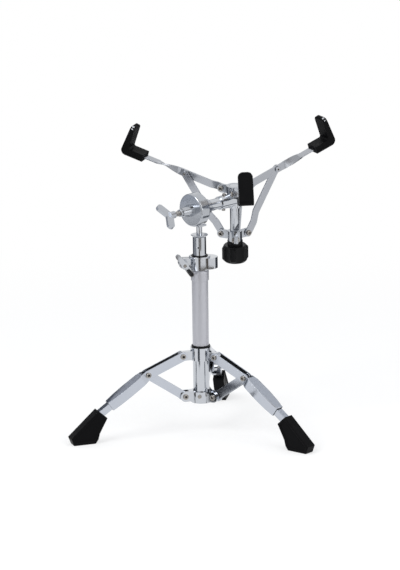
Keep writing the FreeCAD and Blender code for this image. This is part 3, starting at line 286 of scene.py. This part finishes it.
def hinge(name):
    """Place and direction of a joint's pin."""
    return Vector(joints[name]["pos_m"]), Vector(joints[name]["axis"]).normalized()


def last_word(node):
    """Which of the legs or arms a node belongs to."""
    return node.split("_")[-1]


def box_centre(node):
    low, high = (Vector(corner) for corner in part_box(node))
    return (low + high) / 2


def raised(direction):
    """The same line, pointing up."""
    return -direction if direction.z < 0 else direction


def arm_directions(node):
    """Across, outward and upward directions of one of the basket's arms."""
    pivot, across = hinge(f"arm_{last_word(node)}_close")
    out = box_centre(f"grip_{last_word(node)}") - pivot
    out = (out - across * out.dot(across)).normalized()
    return across, out, raised(out.cross(across))


# Details of the mouldings and pressings

FOOT_RIM = 4.2 * MM
FOOT_GROOVE = 1.1 * MM
FOOT_SINK = 1.8 * MM
FOOT_PANEL_RISE = 0.6 * MM
LEAF_BORDER = 2.2 * MM
LEAF_CROWN = 0.8 * MM
HIGHLIGHT_RISE = 0.35 * MM
HIGHLIGHT_SEGMENTS = 20
HIGHLIGHT_RINGS = 10
GRIP_CROWN = 9.0 * MM
HUB_SKIRT = 9.0 * MM
LEVER_HUB = 6.0 * MM
LEVER_WALL = 1.7 * MM
LEVER_DRAFT = 0.3 * MM
LEVER_SINK = 3.5 * MM
# Painted highlights, as steel ovals on a grip's tip: degrees up from its side, half a length and half a width
TIP_HIGHLIGHTS = [(52, 2.7 * MM, 1.6 * MM), (20, 1.9 * MM, 0.8 * MM)]
# Cosines from which a face counts as one that looks along a direction
FOOT_SIDE_SHARE = 0.99
LEG_FACE_SHARE = 0.9
LEVER_FLAT_SHARE = 0.95
TWIST_SHARE = 0.2


def press(shape, faces, steps):
    """Press faces in or out by steps, each an inset and a rise."""
    for inset, rise in steps:
        bmesh.ops.inset_individual(
            shape, faces=faces, thickness=inset, depth=rise, use_even_offset=True)


def score(shape, point, direction):
    """Split the faces that cross a plane, and keep both sides."""
    parts = shape.verts[:] + shape.edges[:] + shape.faces[:]
    bmesh.ops.bisect_plane(shape, geom=parts, plane_co=point, plane_no=direction)


def mould_foot(shape, node):
    """Press a groove and a low panel into each side of a boot, inside a rim."""
    across = hinge(f"leg_{last_word(node)}_fold")[1]
    facing = [face for face in shape.faces if abs(face.normal.dot(across)) > FOOT_SIDE_SHARE]
    sides = sorted(facing, key=lambda face: -face.calc_area())[:2]
    press(shape, sides, [(FOOT_RIM, 0), (FOOT_GROOVE, -FOOT_SINK), (FOOT_GROOVE, FOOT_PANEL_RISE)])


def press_and_shade_leg(shape, node):
    """Crown the leaf's top inside its border; paint shade on the plates' inner faces and the channel's ends."""
    pivot, across = hinge(f"leg_{last_word(node)}_fold")
    along = (box_centre(f"foot_{last_word(node)}") - pivot).normalized()
    upward = raised(along.cross(across))
    tops = [face for face in shape.faces
            if face.normal.dot(upward) > LEG_FACE_SHARE
            and (face.calc_center_median() - pivot).dot(along) > 0]
    leaf = max(tops, key=lambda face: face.calc_area())
    press(shape, [leaf], [(LEAF_BORDER, LEAF_CROWN)])
    shape.normal_update()
    # Painted shade: the inner faces and the channel's end faces take the near-black finish.
    for face in shape.faces:
        aside = (face.calc_center_median() - pivot).dot(across)
        turned = face.normal.dot(across)
        inner = aside * turned < 0 and abs(turned) > LEG_FACE_SHARE
        if inner or face.normal.dot(along) > LEG_FACE_SHARE:
            face.material_index = 1


def brighten_foot_of_tube(shape, node):
    """Polish the tube to a mirror below the sliding hub, where nothing has rubbed it."""
    height = box_centre("top_rivet_left").z - HUB_SKIRT
    score(shape, (0, 0, height), (0, 0, 1))
    for face in shape.faces:
        if face.calc_center_median().z < height:
            face.material_index = 1


def shade_twist(shape, node):
    """Give the twist of an arm a rougher chrome, whose darker colour is painted shade."""
    across, _, upward = arm_directions(node)
    for face in shape.faces:
        turned = [abs(face.normal.dot(direction)) for direction in (across, upward)]
        if min(turned) > TWIST_SHARE:
            face.material_index = 1


def add_highlight_oval(shape, centre, along, facing, length, width):
    """A small oval of bright steel that lies in a surface as a painted highlight, its longer side along a
    direction.
    """
    side = facing.cross(along).normalized()
    turn = Matrix((along * length, side * width, facing * HIGHLIGHT_RISE)).transposed().to_4x4()
    oval = bmesh.ops.create_uvsphere(
        shape, u_segments=HIGHLIGHT_SEGMENTS, v_segments=HIGHLIGHT_RINGS, radius=1,
        matrix=Matrix.Translation(centre) @ turn)
    for face in {face for vertex in oval["verts"] for face in vertex.link_faces}:
        face.material_index = 1


def mark_tip_highlights(shape, node):
    """Put small ovals of bright steel round both corners of the grip's crown as painted highlights."""
    across, out, upward = arm_directions(node)
    points = [vertex.co.copy() for vertex in shape.verts]
    sides = [point.dot(across) for point in points]
    middle = (max(sides) + min(sides)) / 2
    half = (max(sides) - min(sides)) / 2
    top = max(point.dot(upward) for point in points)
    tip = [point.dot(out) for point in points if point.dot(upward) > top - GRIP_CROWN]
    centre = across * middle + out * (max(tip) + min(tip)) / 2 + upward * (top - GRIP_CROWN)
    for hand in (1, -1):
        for degrees, length, width in TIP_HIGHLIGHTS:
            angle = math.radians(degrees)
            facing = across * (hand * math.cos(angle)) + upward * math.sin(angle)
            place = centre + across * hand * (half - GRIP_CROWN) + facing * GRIP_CROWN
            add_highlight_oval(shape, place, out, facing, length, width)


def hollow_and_shade_lever(shape, node):
    """Sink the face of the lever's lower arm into an open channel, and paint shade on its floor."""
    pivot, axis = hinge("clamp_lever_turn")
    lowest = min((vertex.co for vertex in shape.verts), key=lambda point: point.z) - pivot
    downward = (lowest - axis * lowest.dot(axis)).normalized()
    score(shape, pivot + downward * LEVER_HUB, downward)
    shape.normal_update()

    def reach(face, direction):
        return (face.calc_center_median() - pivot).dot(direction)

    flats = [face for face in shape.faces
             if reach(face, downward) > LEVER_HUB and abs(face.normal.dot(axis)) > LEVER_FLAT_SHARE]
    furthest = max(abs(reach(face, axis)) for face in flats)
    outermost = [face for face in flats if abs(reach(face, axis)) > furthest - LEVER_DRAFT]
    outer = max(outermost, key=lambda face: face.calc_area())
    press(shape, [outer], [(LEVER_WALL, 0), (LEVER_DRAFT, -LEVER_SINK)])
    # Painted shade: the channel's sunk floor takes the near-black finish.
    outer.material_index = 1


# Plain pieces: the finish of each, and the rounding of its edges in millimetres
ROUNDED = {
    "tube_sleeve": (satin_chrome, 0.8),
    "lower_hub": (mirror_chrome, 1.0),
    "lower_hub_screw": (zinc_steel, 0.4),
    "height_clamp": (mirror_chrome, 1.2),
    "clamp_bushing": (black_plastic, 0.5),
    "clamp_bolt": (zinc_steel, 0.6),
    "upper_tube": (mirror_chrome, 0.3),
    "tube_cap": (cast_chrome, 0.5),
    # The cross pin takes the near-black painted shade of the insides.
    "cross_pin": (painted_shade_inside, 0.3),
    "tilter_rod": (mirror_chrome, 0.3),
    "upper_hub": (mirror_chrome, 1.2),
    "hub_bushing_ring": (black_plastic, 0.6),
    "hub_wing_bolt": (mirror_chrome, 1.0),
    "tilter_front_shell": (cast_chrome, 1.0),
    "tilter_rear_shell": (cast_chrome, 0.8),
    "front_ratchet_ring": (zinc_steel, 0.1),
    "rear_ratchet_ring": (zinc_steel, 0.1),
    "tilter_lock_nut": (cast_chrome, 0.6),
    "tilter_wing_bolt": (cast_chrome, 1.2),
    "stub_tube": (mirror_chrome, 0.3),
    "post_clamp": (mirror_chrome, 1.0),
    "stub_screws": (zinc_steel, 0.5),
    "basket_post": (mirror_chrome, 0.5),
    "threaded_rod": (zinc_steel, 0.4),
    "top_hub": (cast_chrome, 0.8),
    "lower_collar": (cast_chrome, 0.8),
    "tension_knob": (black_plastic, 1.4),
    "lower_hub_rivets": (zinc_steel, 0.5),
    "arm_rivets": (zinc_steel, 0.5),
    "collar_rivets": (zinc_steel, 0.5),
}
for leg in LEG_NAMES:
    ROUNDED[f"brace_{leg}"] = (plate_chrome, 0.3)
    ROUNDED[f"mid_rivet_{leg}"] = (zinc_steel, 0.5)
    ROUNDED[f"top_rivet_{leg}"] = (zinc_steel, 0.5)
for arm in ARM_NAMES:
    ROUNDED[f"strut_{arm}"] = (arm_chrome, 0.4)
    ROUNDED[f"strut_rivet_{arm}"] = (arm_chrome, 0.5)
for node, (material, width) in ROUNDED.items():
    finish_node(node, [material], width * MM)

# Detailed pieces: the first finish is the main one, and the second is for what the detail picks out
LEVER_EDGE = 0.7 * MM
TUBE_EDGE = 0.3 * MM
LEG_EDGE = 0.7 * MM
FOOT_EDGE = 0.9 * MM
ARM_EDGE = 0.4 * MM
GRIP_EDGE = 2.0 * MM
finish_node("clamp_lever", [mirror_chrome, painted_shade_inside], LEVER_EDGE, hollow_and_shade_lever)
finish_node("base_tube", [satin_chrome, mirror_chrome], TUBE_EDGE, brighten_foot_of_tube)
for leg in LEG_NAMES:
    finish_node(f"leg_{leg}", [plate_chrome, painted_shade_inside], LEG_EDGE, press_and_shade_leg)
    finish_node(f"foot_{leg}", [black_rubber], FOOT_EDGE, mould_foot)
for arm in ARM_NAMES:
    # The arm's second finish is the painted shade on its twist.
    finish_node(f"arm_{arm}", [arm_chrome, shaded_twist_chrome], ARM_EDGE, shade_twist)
    # The grip's second finish is bright steel for the painted highlights on its tip.
    finish_node(f"grip_{arm}", [black_rubber, mirror_chrome], GRIP_EDGE, mark_tip_highlights)


# Geometry Nodes: the rolled ends of the rivets and the screw threads

RIVET_REACH = 6.5 * MM
RIM_RADIUS = 2.9 * MM
RIM_THICKNESS = 0.75 * MM
RIM_SEGMENTS = 24
RIM_SIDES = 10
SMALL_RIM = {"Rim Radius": 1.7 * MM, "Rim Thickness": 0.4 * MM}
THREAD_RADIUS = 4 * MM
THREAD_LENGTH = 10 * MM
THREAD_PITCH = 1.25 * MM
THREAD_DEPTH = 0.45 * MM
THREAD_SEGMENTS = 24
THREAD_SIDES = 4
# Each wing bolt: the piece that it runs into, its joint and the radius of its shank
WING_BOLTS = [("tilter_wing_bolt", "tilter_lock_nut", "tilter_bolt_turn", 4 * MM),
              ("hub_wing_bolt", "upper_hub", "hub_bolt_turn", 3 * MM)]
# Shares of a shank's radius: what lies outside the shank, and how much of its seat counts
SHANK_SHARE = 1.2
SEAT_SHARE = 2.4


def new_tree(name, inputs):
    """An empty geometry tree with float inputs, and its two ends."""
    tree = bpy.data.node_groups.new(name, "GeometryNodeTree")
    tree.interface.new_socket("Geometry", in_out="INPUT", socket_type="NodeSocketGeometry")
    for label, value in inputs.items():
        socket = tree.interface.new_socket(label, in_out="INPUT", socket_type="NodeSocketFloat")
        socket.default_value = value
    tree.interface.new_socket("Geometry", in_out="OUTPUT", socket_type="NodeSocketGeometry")
    return tree, tree.nodes.new("NodeGroupInput"), tree.nodes.new("NodeGroupOutput")


def stand_on_points(tree, start, shape):
    """Copies of a shape on the points, each turned to its point's outward direction."""
    outward = tree.nodes.new("GeometryNodeInputNamedAttribute")
    outward.data_type = "FLOAT_VECTOR"
    outward.inputs["Name"].default_value = "outward"
    turn = tree.nodes.new("FunctionNodeAlignRotationToVector")
    turn.axis = "Z"
    copies = tree.nodes.new("GeometryNodeInstanceOnPoints")
    whole = tree.nodes.new("GeometryNodeRealizeInstances")
    tree.links.new(outward.outputs["Attribute"], turn.inputs["Vector"])
    tree.links.new(start.outputs["Geometry"], copies.inputs["Points"])
    tree.links.new(shape, copies.inputs["Instance"])
    tree.links.new(turn.outputs["Rotation"], copies.inputs["Rotation"])
    tree.links.new(copies.outputs["Instances"], whole.inputs["Geometry"])
    return whole.outputs["Geometry"]


def ring_curve(tree, radius, resolution):
    node = tree.nodes.new("GeometryNodeCurvePrimitiveCircle")
    node.inputs["Resolution"].default_value = resolution
    tree.links.new(radius, node.inputs["Radius"])
    return node.outputs["Curve"]


def sweep(tree, curve, profile):
    node = tree.nodes.new("GeometryNodeCurveToMesh")
    node.inputs["Fill Caps"].default_value = True
    tree.links.new(curve, node.inputs["Curve"])
    tree.links.new(profile, node.inputs["Profile Curve"])
    return node.outputs["Mesh"]


def coated(tree, geometry, material, only=None):
    """Give a material to the whole shape, or only to the faces that an attribute marks."""
    node = tree.nodes.new("GeometryNodeSetMaterial")
    node.inputs["Material"].default_value = material
    tree.links.new(geometry, node.inputs["Geometry"])
    if only:
        chosen = tree.nodes.new("GeometryNodeInputNamedAttribute")
        chosen.data_type = "BOOLEAN"
        chosen.inputs["Name"].default_value = only
        tree.links.new(chosen.outputs["Attribute"], node.inputs["Selection"])
    return node.outputs["Geometry"]


def make_rim_tree():
    """A rolled steel rim round a flat disc of painted shade that stands for the shaded bore of a tubular rivet."""
    tree, start, end = new_tree(
        "rolled_rivet_rims", {"Rim Radius": RIM_RADIUS, "Rim Thickness": RIM_THICKNESS})
    rim = sweep(tree, ring_curve(tree, start.outputs["Rim Radius"], RIM_SEGMENTS),
                ring_curve(tree, start.outputs["Rim Thickness"], RIM_SIDES))
    disc = tree.nodes.new("GeometryNodeMeshCircle")
    disc.fill_type = "NGON"
    disc.inputs["Vertices"].default_value = RIM_SEGMENTS
    tree.links.new(start.outputs["Rim Radius"], disc.inputs["Radius"])
    # Painted shade: the flat disc is marked for the near-black finish.
    marked = tree.nodes.new("GeometryNodeStoreNamedAttribute")
    marked.data_type = "BOOLEAN"
    marked.domain = "FACE"
    marked.inputs["Name"].default_value = "shaded_bore"
    marked.inputs["Value"].default_value = True
    tree.links.new(disc.outputs["Mesh"], marked.inputs["Geometry"])
    both = tree.nodes.new("GeometryNodeJoinGeometry")
    tree.links.new(rim, both.inputs["Geometry"])
    tree.links.new(marked.outputs["Geometry"], both.inputs["Geometry"])
    whole = stand_on_points(tree, start, both.outputs["Geometry"])
    steel = coated(tree, whole, zinc_steel)
    tree.links.new(coated(tree, steel, painted_shade_inside, "shaded_bore"), end.inputs["Geometry"])
    return tree


def make_thread_tree():
    """A screw thread wound from a point along its outward direction."""
    tree, start, end = new_tree(
        "screw_thread", {"Radius": THREAD_RADIUS, "Length": THREAD_LENGTH,
                         "Turns": THREAD_LENGTH / THREAD_PITCH, "Depth": THREAD_DEPTH})
    spiral = tree.nodes.new("GeometryNodeCurveSpiral")
    spiral.inputs["Resolution"].default_value = THREAD_SEGMENTS
    tree.links.new(start.outputs["Turns"], spiral.inputs["Rotations"])
    tree.links.new(start.outputs["Radius"], spiral.inputs["Start Radius"])
    tree.links.new(start.outputs["Radius"], spiral.inputs["End Radius"])
    tree.links.new(start.outputs["Length"], spiral.inputs["Height"])
    profile = ring_curve(tree, start.outputs["Depth"], THREAD_SIDES)
    thread = sweep(tree, spiral.outputs["Curve"], profile)
    whole = stand_on_points(tree, start, thread)
    tree.links.new(coated(tree, whole, zinc_steel), end.inputs["Geometry"])
    return tree


def grow(name, tree, points, settings, body):
    """Run a tree on points with outward directions, and keep the result as a plain mesh."""
    seeds = bpy.data.meshes.new(f"{name}_points")
    seeds.from_pydata([place for place, _ in points], [], [])
    outward = seeds.attributes.new("outward", "FLOAT_VECTOR", "POINT")
    for item, (_, direction) in zip(outward.data, points):
        item.vector = direction
    holder = put_in_scene(f"{name}_holder", seeds)
    modifier = holder.modifiers.new("grown", "NODES")
    modifier.node_group = tree
    for socket in tree.interface.items_tree:
        if socket.in_out == "INPUT" and socket.name in settings:
            modifier[socket.identifier] = settings[socket.name]
    graph = bpy.context.evaluated_depsgraph_get()
    mesh = bpy.data.meshes.new_from_object(holder.evaluated_get(graph), depsgraph=graph)
    mesh.name = name
    bpy.data.objects.remove(holder)
    for polygon in mesh.polygons:
        polygon.use_smooth = True
    add_piece(name, mesh, body)


def off_axis(offset, axis):
    """How far an offset leads away from an axis."""
    return (offset - axis * offset.dot(axis)).length


def pin_ends(node, centre, axis):
    """The two ends of a pin that runs through a point along an axis."""
    offsets = [vertex.co - centre for vertex in nodes[node].data.vertices]
    reach = [offset.dot(axis) for offset in offsets if off_axis(offset, axis) < RIVET_REACH]
    return [(centre + axis * max(reach), axis), (centre + axis * min(reach), -axis)]


def add_rivet_rims():
    """Rolled rims on every rivet, one piece for each body."""
    ends = {}

    def pin(node, centre, axis):
        ends.setdefault(body_of_node[node], []).extend(pin_ends(node, centre, axis))

    for leg in LEG_NAMES:
        pin(f"mid_rivet_{leg}", *hinge(f"leg_{leg}_fold"))
        pin("lower_hub_rivets", *hinge(f"brace_{leg}_fold"))
        pin(f"top_rivet_{leg}", box_centre(f"top_rivet_{leg}"), hinge(f"leg_{leg}_fold")[1])
    for arm in ARM_NAMES:
        pin("arm_rivets", *hinge(f"arm_{arm}_close"))
        pin("collar_rivets", *hinge(f"strut_{arm}_swing"))
        pin(f"strut_rivet_{arm}", box_centre(f"strut_rivet_{arm}"), hinge(f"arm_{arm}_close")[1])
    tree = make_rim_tree()
    for body, points in ends.items():
        sizes = SMALL_RIM if body.startswith("strut") else {}
        grow(f"{body}_rivet_rims", tree, points, sizes, body)


def span(node, centre, axis, inside, outside):
    """How far a node reaches along an axis, counting only what lies between two radii."""
    offsets = [vertex.co - centre for vertex in nodes[node].data.vertices]
    along = [offset.dot(axis) for offset in offsets if inside < off_axis(offset, axis) < outside]
    return min(along), max(along)


def add_threads():
    """Threads on the shanks of the two wing bolts, from the seat to the shoulder of the wing."""
    tree = make_thread_tree()
    for bolt, seat, joint, radius in WING_BOLTS:
        centre, axis = hinge(joint)
        seat_low, seat_high = span(seat, centre, axis, 0, radius * SEAT_SHARE)
        wing_low, wing_high = span(bolt, centre, axis, radius * SHANK_SHARE, math.inf)
        if wing_low + wing_high < 0:
            start, stop, outward = seat_low, wing_high, -axis
        else:
            start, stop, outward = seat_high, wing_low, axis
        length = abs(stop - start)
        settings = {"Radius": radius, "Length": length,
                    "Turns": length / THREAD_PITCH, "Depth": THREAD_DEPTH}
        points = [(centre + axis * start, outward)]
        grow(f"{bolt}_thread", tree, points, settings, body_of_node[bolt])


add_rivet_rims()
add_threads()


# Stage: the photograph's view, in degrees, metres and pixels

VIEW_AZIMUTH = 9.85
VIEW_ELEVATION = 13.73
VIEW_ROLL = 0.77
VIEW_DISTANCE = 6.976
VIEW_TARGET = Vector((0, 0, 0.263))
IMAGE_HEIGHT = 570
FOCAL_PIXELS = 4000
SENSOR_HEIGHT = 36.0
CAMERA_REACH = 100


def view_directions():
    """Level directions towards the camera and to its right."""
    azimuth = math.radians(VIEW_AZIMUTH)
    near = Vector((math.sin(azimuth), -math.cos(azimuth), 0))
    right = Vector((math.cos(azimuth), math.sin(azimuth), 0))
    return near, right


def add_camera():
    """The photograph's camera: a long lens that looks down a little."""
    near, right = view_directions()
    elevation = math.radians(VIEW_ELEVATION)
    roll = math.radians(VIEW_ROLL)
    look = -near * math.cos(elevation) - Vector((0, 0, math.sin(elevation)))
    up = right.cross(look)
    camera_right = right * math.cos(roll) - up * math.sin(roll)
    camera_up = right * math.sin(roll) + up * math.cos(roll)
    data = bpy.data.cameras.new("camera")
    data.sensor_fit = "VERTICAL"
    data.sensor_height = SENSOR_HEIGHT
    data.lens = FOCAL_PIXELS / IMAGE_HEIGHT * SENSOR_HEIGHT
    data.clip_end = CAMERA_REACH
    camera = put_in_scene("camera", data)
    turn = Matrix((camera_right, camera_up, -look)).transposed().to_4x4()
    camera.matrix_world = Matrix.Translation(VIEW_TARGET - look * VIEW_DISTANCE) @ turn
    bpy.context.scene.camera = camera


# Floor and studio light

FLOOR_RADIUS = 1.6
FLOOR_SEGMENTS = 96
SHADOW_RADIUS = 0.55
WHITE_RADIUS = FLOOR_RADIUS * 0.9
FLOOR_GLOW = 0.57
FLOOR_COLOUR = (0.42, 0.42, 0.42)
BOUNCE_COLOUR = (0.8, 0.8, 0.8)
WHITE = (1, 1, 1)
STUDIO_COLOUR = (0.96, 0.975, 1.0)
STUDIO_STRENGTH = 0.8
LAMP_TARGET = Vector((0, 0, 0.25))
# Each lamp's place, its size in metres and its power in watts
LAMPS = {"key": (Vector((-1.3, -1.6, 2.2)), 1.4, 30),
         "fill": (Vector((1.8, -1.2, 1.4)), 1.6, 16)}


def direct_view(tree):
    """One for rays from the camera, off a mirror or through glass, and zero for the rest."""
    path = tree.nodes.new("ShaderNodeLightPath")
    total = path.outputs["Is Camera Ray"]
    for label in ("Is Glossy Ray", "Is Transmission Ray"):
        larger = tree.nodes.new("ShaderNodeMath")
        larger.operation = "MAXIMUM"
        tree.links.new(total, larger.inputs[0])
        tree.links.new(path.outputs[label], larger.inputs[1])
        total = larger.outputs[0]
    return total


def make_floor_material():
    """White that keeps a faint shadow near the stand and fades to plain white further out."""
    material = bpy.data.materials.new("white_floor")
    material.use_nodes = True
    tree = material.node_tree
    tree.nodes.clear()
    output = tree.nodes.new("ShaderNodeOutputMaterial")
    diffuse = tree.nodes.new("ShaderNodeBsdfDiffuse")
    diffuse.inputs["Color"].default_value = (*FLOOR_COLOUR, 1)
    glow = tree.nodes.new("ShaderNodeEmission")
    glow.inputs["Strength"].default_value = FLOOR_GLOW
    lit = tree.nodes.new("ShaderNodeAddShader")
    white = tree.nodes.new("ShaderNodeEmission")
    length = tree.nodes.new("ShaderNodeVectorMath")
    length.operation = "LENGTH"
    place = tree.nodes.new("ShaderNodeTexCoord")
    fade = tree.nodes.new("ShaderNodeMapRange")
    fade.interpolation_type = "SMOOTHSTEP"
    fade.inputs["From Min"].default_value = SHADOW_RADIUS
    fade.inputs["From Max"].default_value = WHITE_RADIUS
    seen = tree.nodes.new("ShaderNodeMixShader")
    bounce = tree.nodes.new("ShaderNodeBsdfDiffuse")
    bounce.inputs["Color"].default_value = (*BOUNCE_COLOUR, 1)
    shown = tree.nodes.new("ShaderNodeMixShader")
    links = tree.links
    links.new(diffuse.outputs[0], lit.inputs[0])
    links.new(glow.outputs[0], lit.inputs[1])
    links.new(place.outputs["Object"], length.inputs[0])
    links.new(length.outputs["Value"], fade.inputs["Value"])
    links.new(fade.outputs["Result"], seen.inputs["Fac"])
    links.new(lit.outputs[0], seen.inputs[1])
    links.new(white.outputs[0], seen.inputs[2])
    links.new(direct_view(tree), shown.inputs["Fac"])
    links.new(bounce.outputs[0], shown.inputs[1])
    links.new(seen.outputs[0], shown.inputs[2])
    links.new(shown.outputs[0], output.inputs["Surface"])
    return material


def make_floor():
    shape = bmesh.new()
    bmesh.ops.create_circle(shape, cap_ends=True, segments=FLOOR_SEGMENTS, radius=FLOOR_RADIUS)
    mesh = new_mesh("floor", shape)
    mesh.materials.append(make_floor_material())
    floor = put_in_scene("floor", mesh)


def light_world():
    """A pale studio; the camera, mirrors and glass see plain white."""
    world = bpy.data.worlds.new("studio")
    world.use_nodes = True
    bpy.context.scene.world = world
    tree = world.node_tree
    tree.nodes.clear()
    studio = tree.nodes.new("ShaderNodeBackground")
    studio.inputs["Color"].default_value = (*STUDIO_COLOUR, 1)
    studio.inputs["Strength"].default_value = STUDIO_STRENGTH
    white = tree.nodes.new("ShaderNodeBackground")
    white.inputs["Color"].default_value = (*WHITE, 1)
    shown = tree.nodes.new("ShaderNodeMixShader")
    output = tree.nodes.new("ShaderNodeOutputWorld")
    tree.links.new(direct_view(tree), shown.inputs["Fac"])
    tree.links.new(studio.outputs[0], shown.inputs[1])
    tree.links.new(white.outputs[0], shown.inputs[2])
    tree.links.new(shown.outputs[0], output.inputs["Surface"])


def add_lamp(name, place, size, power):
    lamp = bpy.data.lights.new(name, "AREA")
    lamp.size = size
    lamp.energy = power
    item = put_in_scene(name, lamp)
    item.location = place
    item.rotation_euler = (LAMP_TARGET - place).to_track_quat("-Z", "Y").to_euler()


# Boards and cards that the chrome mirrors

BOARD_DISTANCE = 0.55
BOARD_STEP = 6
BOARD_ROUGHNESS = 0.9
CHARCOAL = (0.05, 0.055, 0.065)
SLATE = (0.11, 0.12, 0.14)
STEEL_BLUE = (0.62, 0.65, 0.71)
MID_GREY = (0.37, 0.38, 0.40)
PALE_GREY = (0.46, 0.47, 0.50)
LIGHT_GREY = (0.66, 0.67, 0.69)
BRONZE_GREY = (0.17, 0.15, 0.13)
TAUPE_GREY = (0.38, 0.355, 0.33)
WARM_GREY = (0.55, 0.52, 0.49)
# Upright boards: degrees round from the camera, right positive, then two heights in metres and a
# colour. They stand outside the picture, and only mirrors see them.
BOARDS = [
    (-172, -108, 0.15, 0.29, SLATE),
    (-172, -108, 0.29, 0.75, PALE_GREY),
    (-108, -56, 0.15, 0.232, MID_GREY),
    (-108, -62, 0.264, 0.75, STEEL_BLUE),
    (-14, 9, 0.15, 0.2, BRONZE_GREY),
    (9, 75, 0.15, 0.169, BRONZE_GREY),
    (-14, 32, 0.2, 0.236, TAUPE_GREY),
    (-14, 7, 0.236, 0.75, BRONZE_GREY),
    (55, 105, 0.62, 0.95, WARM_GREY),
    (98, 172, 0.15, 0.32, CHARCOAL),
    (108, 172, 0.32, 0.75, LIGHT_GREY),
]
# Cards that lie on the floor: degrees round from the camera, then near and far radius in metres
FLOOR_CARDS = [
    (-34, -12, 0.47, 0.64, CHARCOAL),
    (88, 112, 0.47, 0.64, SLATE),
    (-84, -60, 0.25, 0.33, CHARCOAL),
]
CARD_RISE = 1 * MM
# A canopy above the near side of the stand: across, away from the camera and up, in metres
CANOPY_SPAN = (-0.16, 0.16)
CANOPY_DEPTH = (-0.75, -0.2)
CANOPY_HEIGHT = 1.15


def add_board(name, corners, colour):
    """A sheet of dull card through pairs of corners."""
    mesh = bpy.data.meshes.new(name)
    count = len(corners) // 2
    faces = [(2 * i, 2 * i + 1, 2 * i + 3, 2 * i + 2) for i in range(count - 1)]
    mesh.from_pydata(corners, [], faces)
    material = bpy.data.materials.new(name)
    material.use_nodes = True
    shader = material.node_tree.nodes["Principled BSDF"]
    shader.inputs["Base Color"].default_value = (*colour, 1)
    shader.inputs["Roughness"].default_value = BOARD_ROUGHNESS
    shader.inputs["Specular IOR Level"].default_value = 0
    mesh.materials.append(material)
    board = put_in_scene(name, mesh)
    board.visible_camera = False
    board.visible_diffuse = False
    board.visible_shadow = False


def add_boards():
    near, right = view_directions()

    def round_board(name, start, stop, edges, colour):
        """A board round the stand whose two edges each have a radius and a height."""
        steps = max(2, round((stop - start) / BOARD_STEP))
        corners = []
        for step in range(steps + 1):
            angle = math.radians(start + (stop - start) * step / steps)
            outward = near * math.cos(angle) + right * math.sin(angle)
            corners += [outward * radius + Vector((0, 0, height)) for radius, height in edges]
        add_board(name, corners, colour)

    for number, (start, stop, low, high, colour) in enumerate(BOARDS):
        edges = ((BOARD_DISTANCE, low), (BOARD_DISTANCE, high))
        round_board(f"board_{number}", start, stop, edges, colour)
    for number, (start, stop, close, far, colour) in enumerate(FLOOR_CARDS):
        edges = ((close, CARD_RISE), (far, CARD_RISE))
        round_board(f"floor_card_{number}", start, stop, edges, colour)
    corners = [right * across - near * depth + Vector((0, 0, CANOPY_HEIGHT))
               for across in CANOPY_SPAN for depth in CANOPY_DEPTH]
    add_board("canopy", corners, BRONZE_GREY)


make_floor()
light_world()
add_boards()
for lamp_name, (place, size, power) in LAMPS.items():
    add_lamp(lamp_name, place, size, power)
add_camera()
bpy.context.scene.view_settings.view_transform = "Standard"
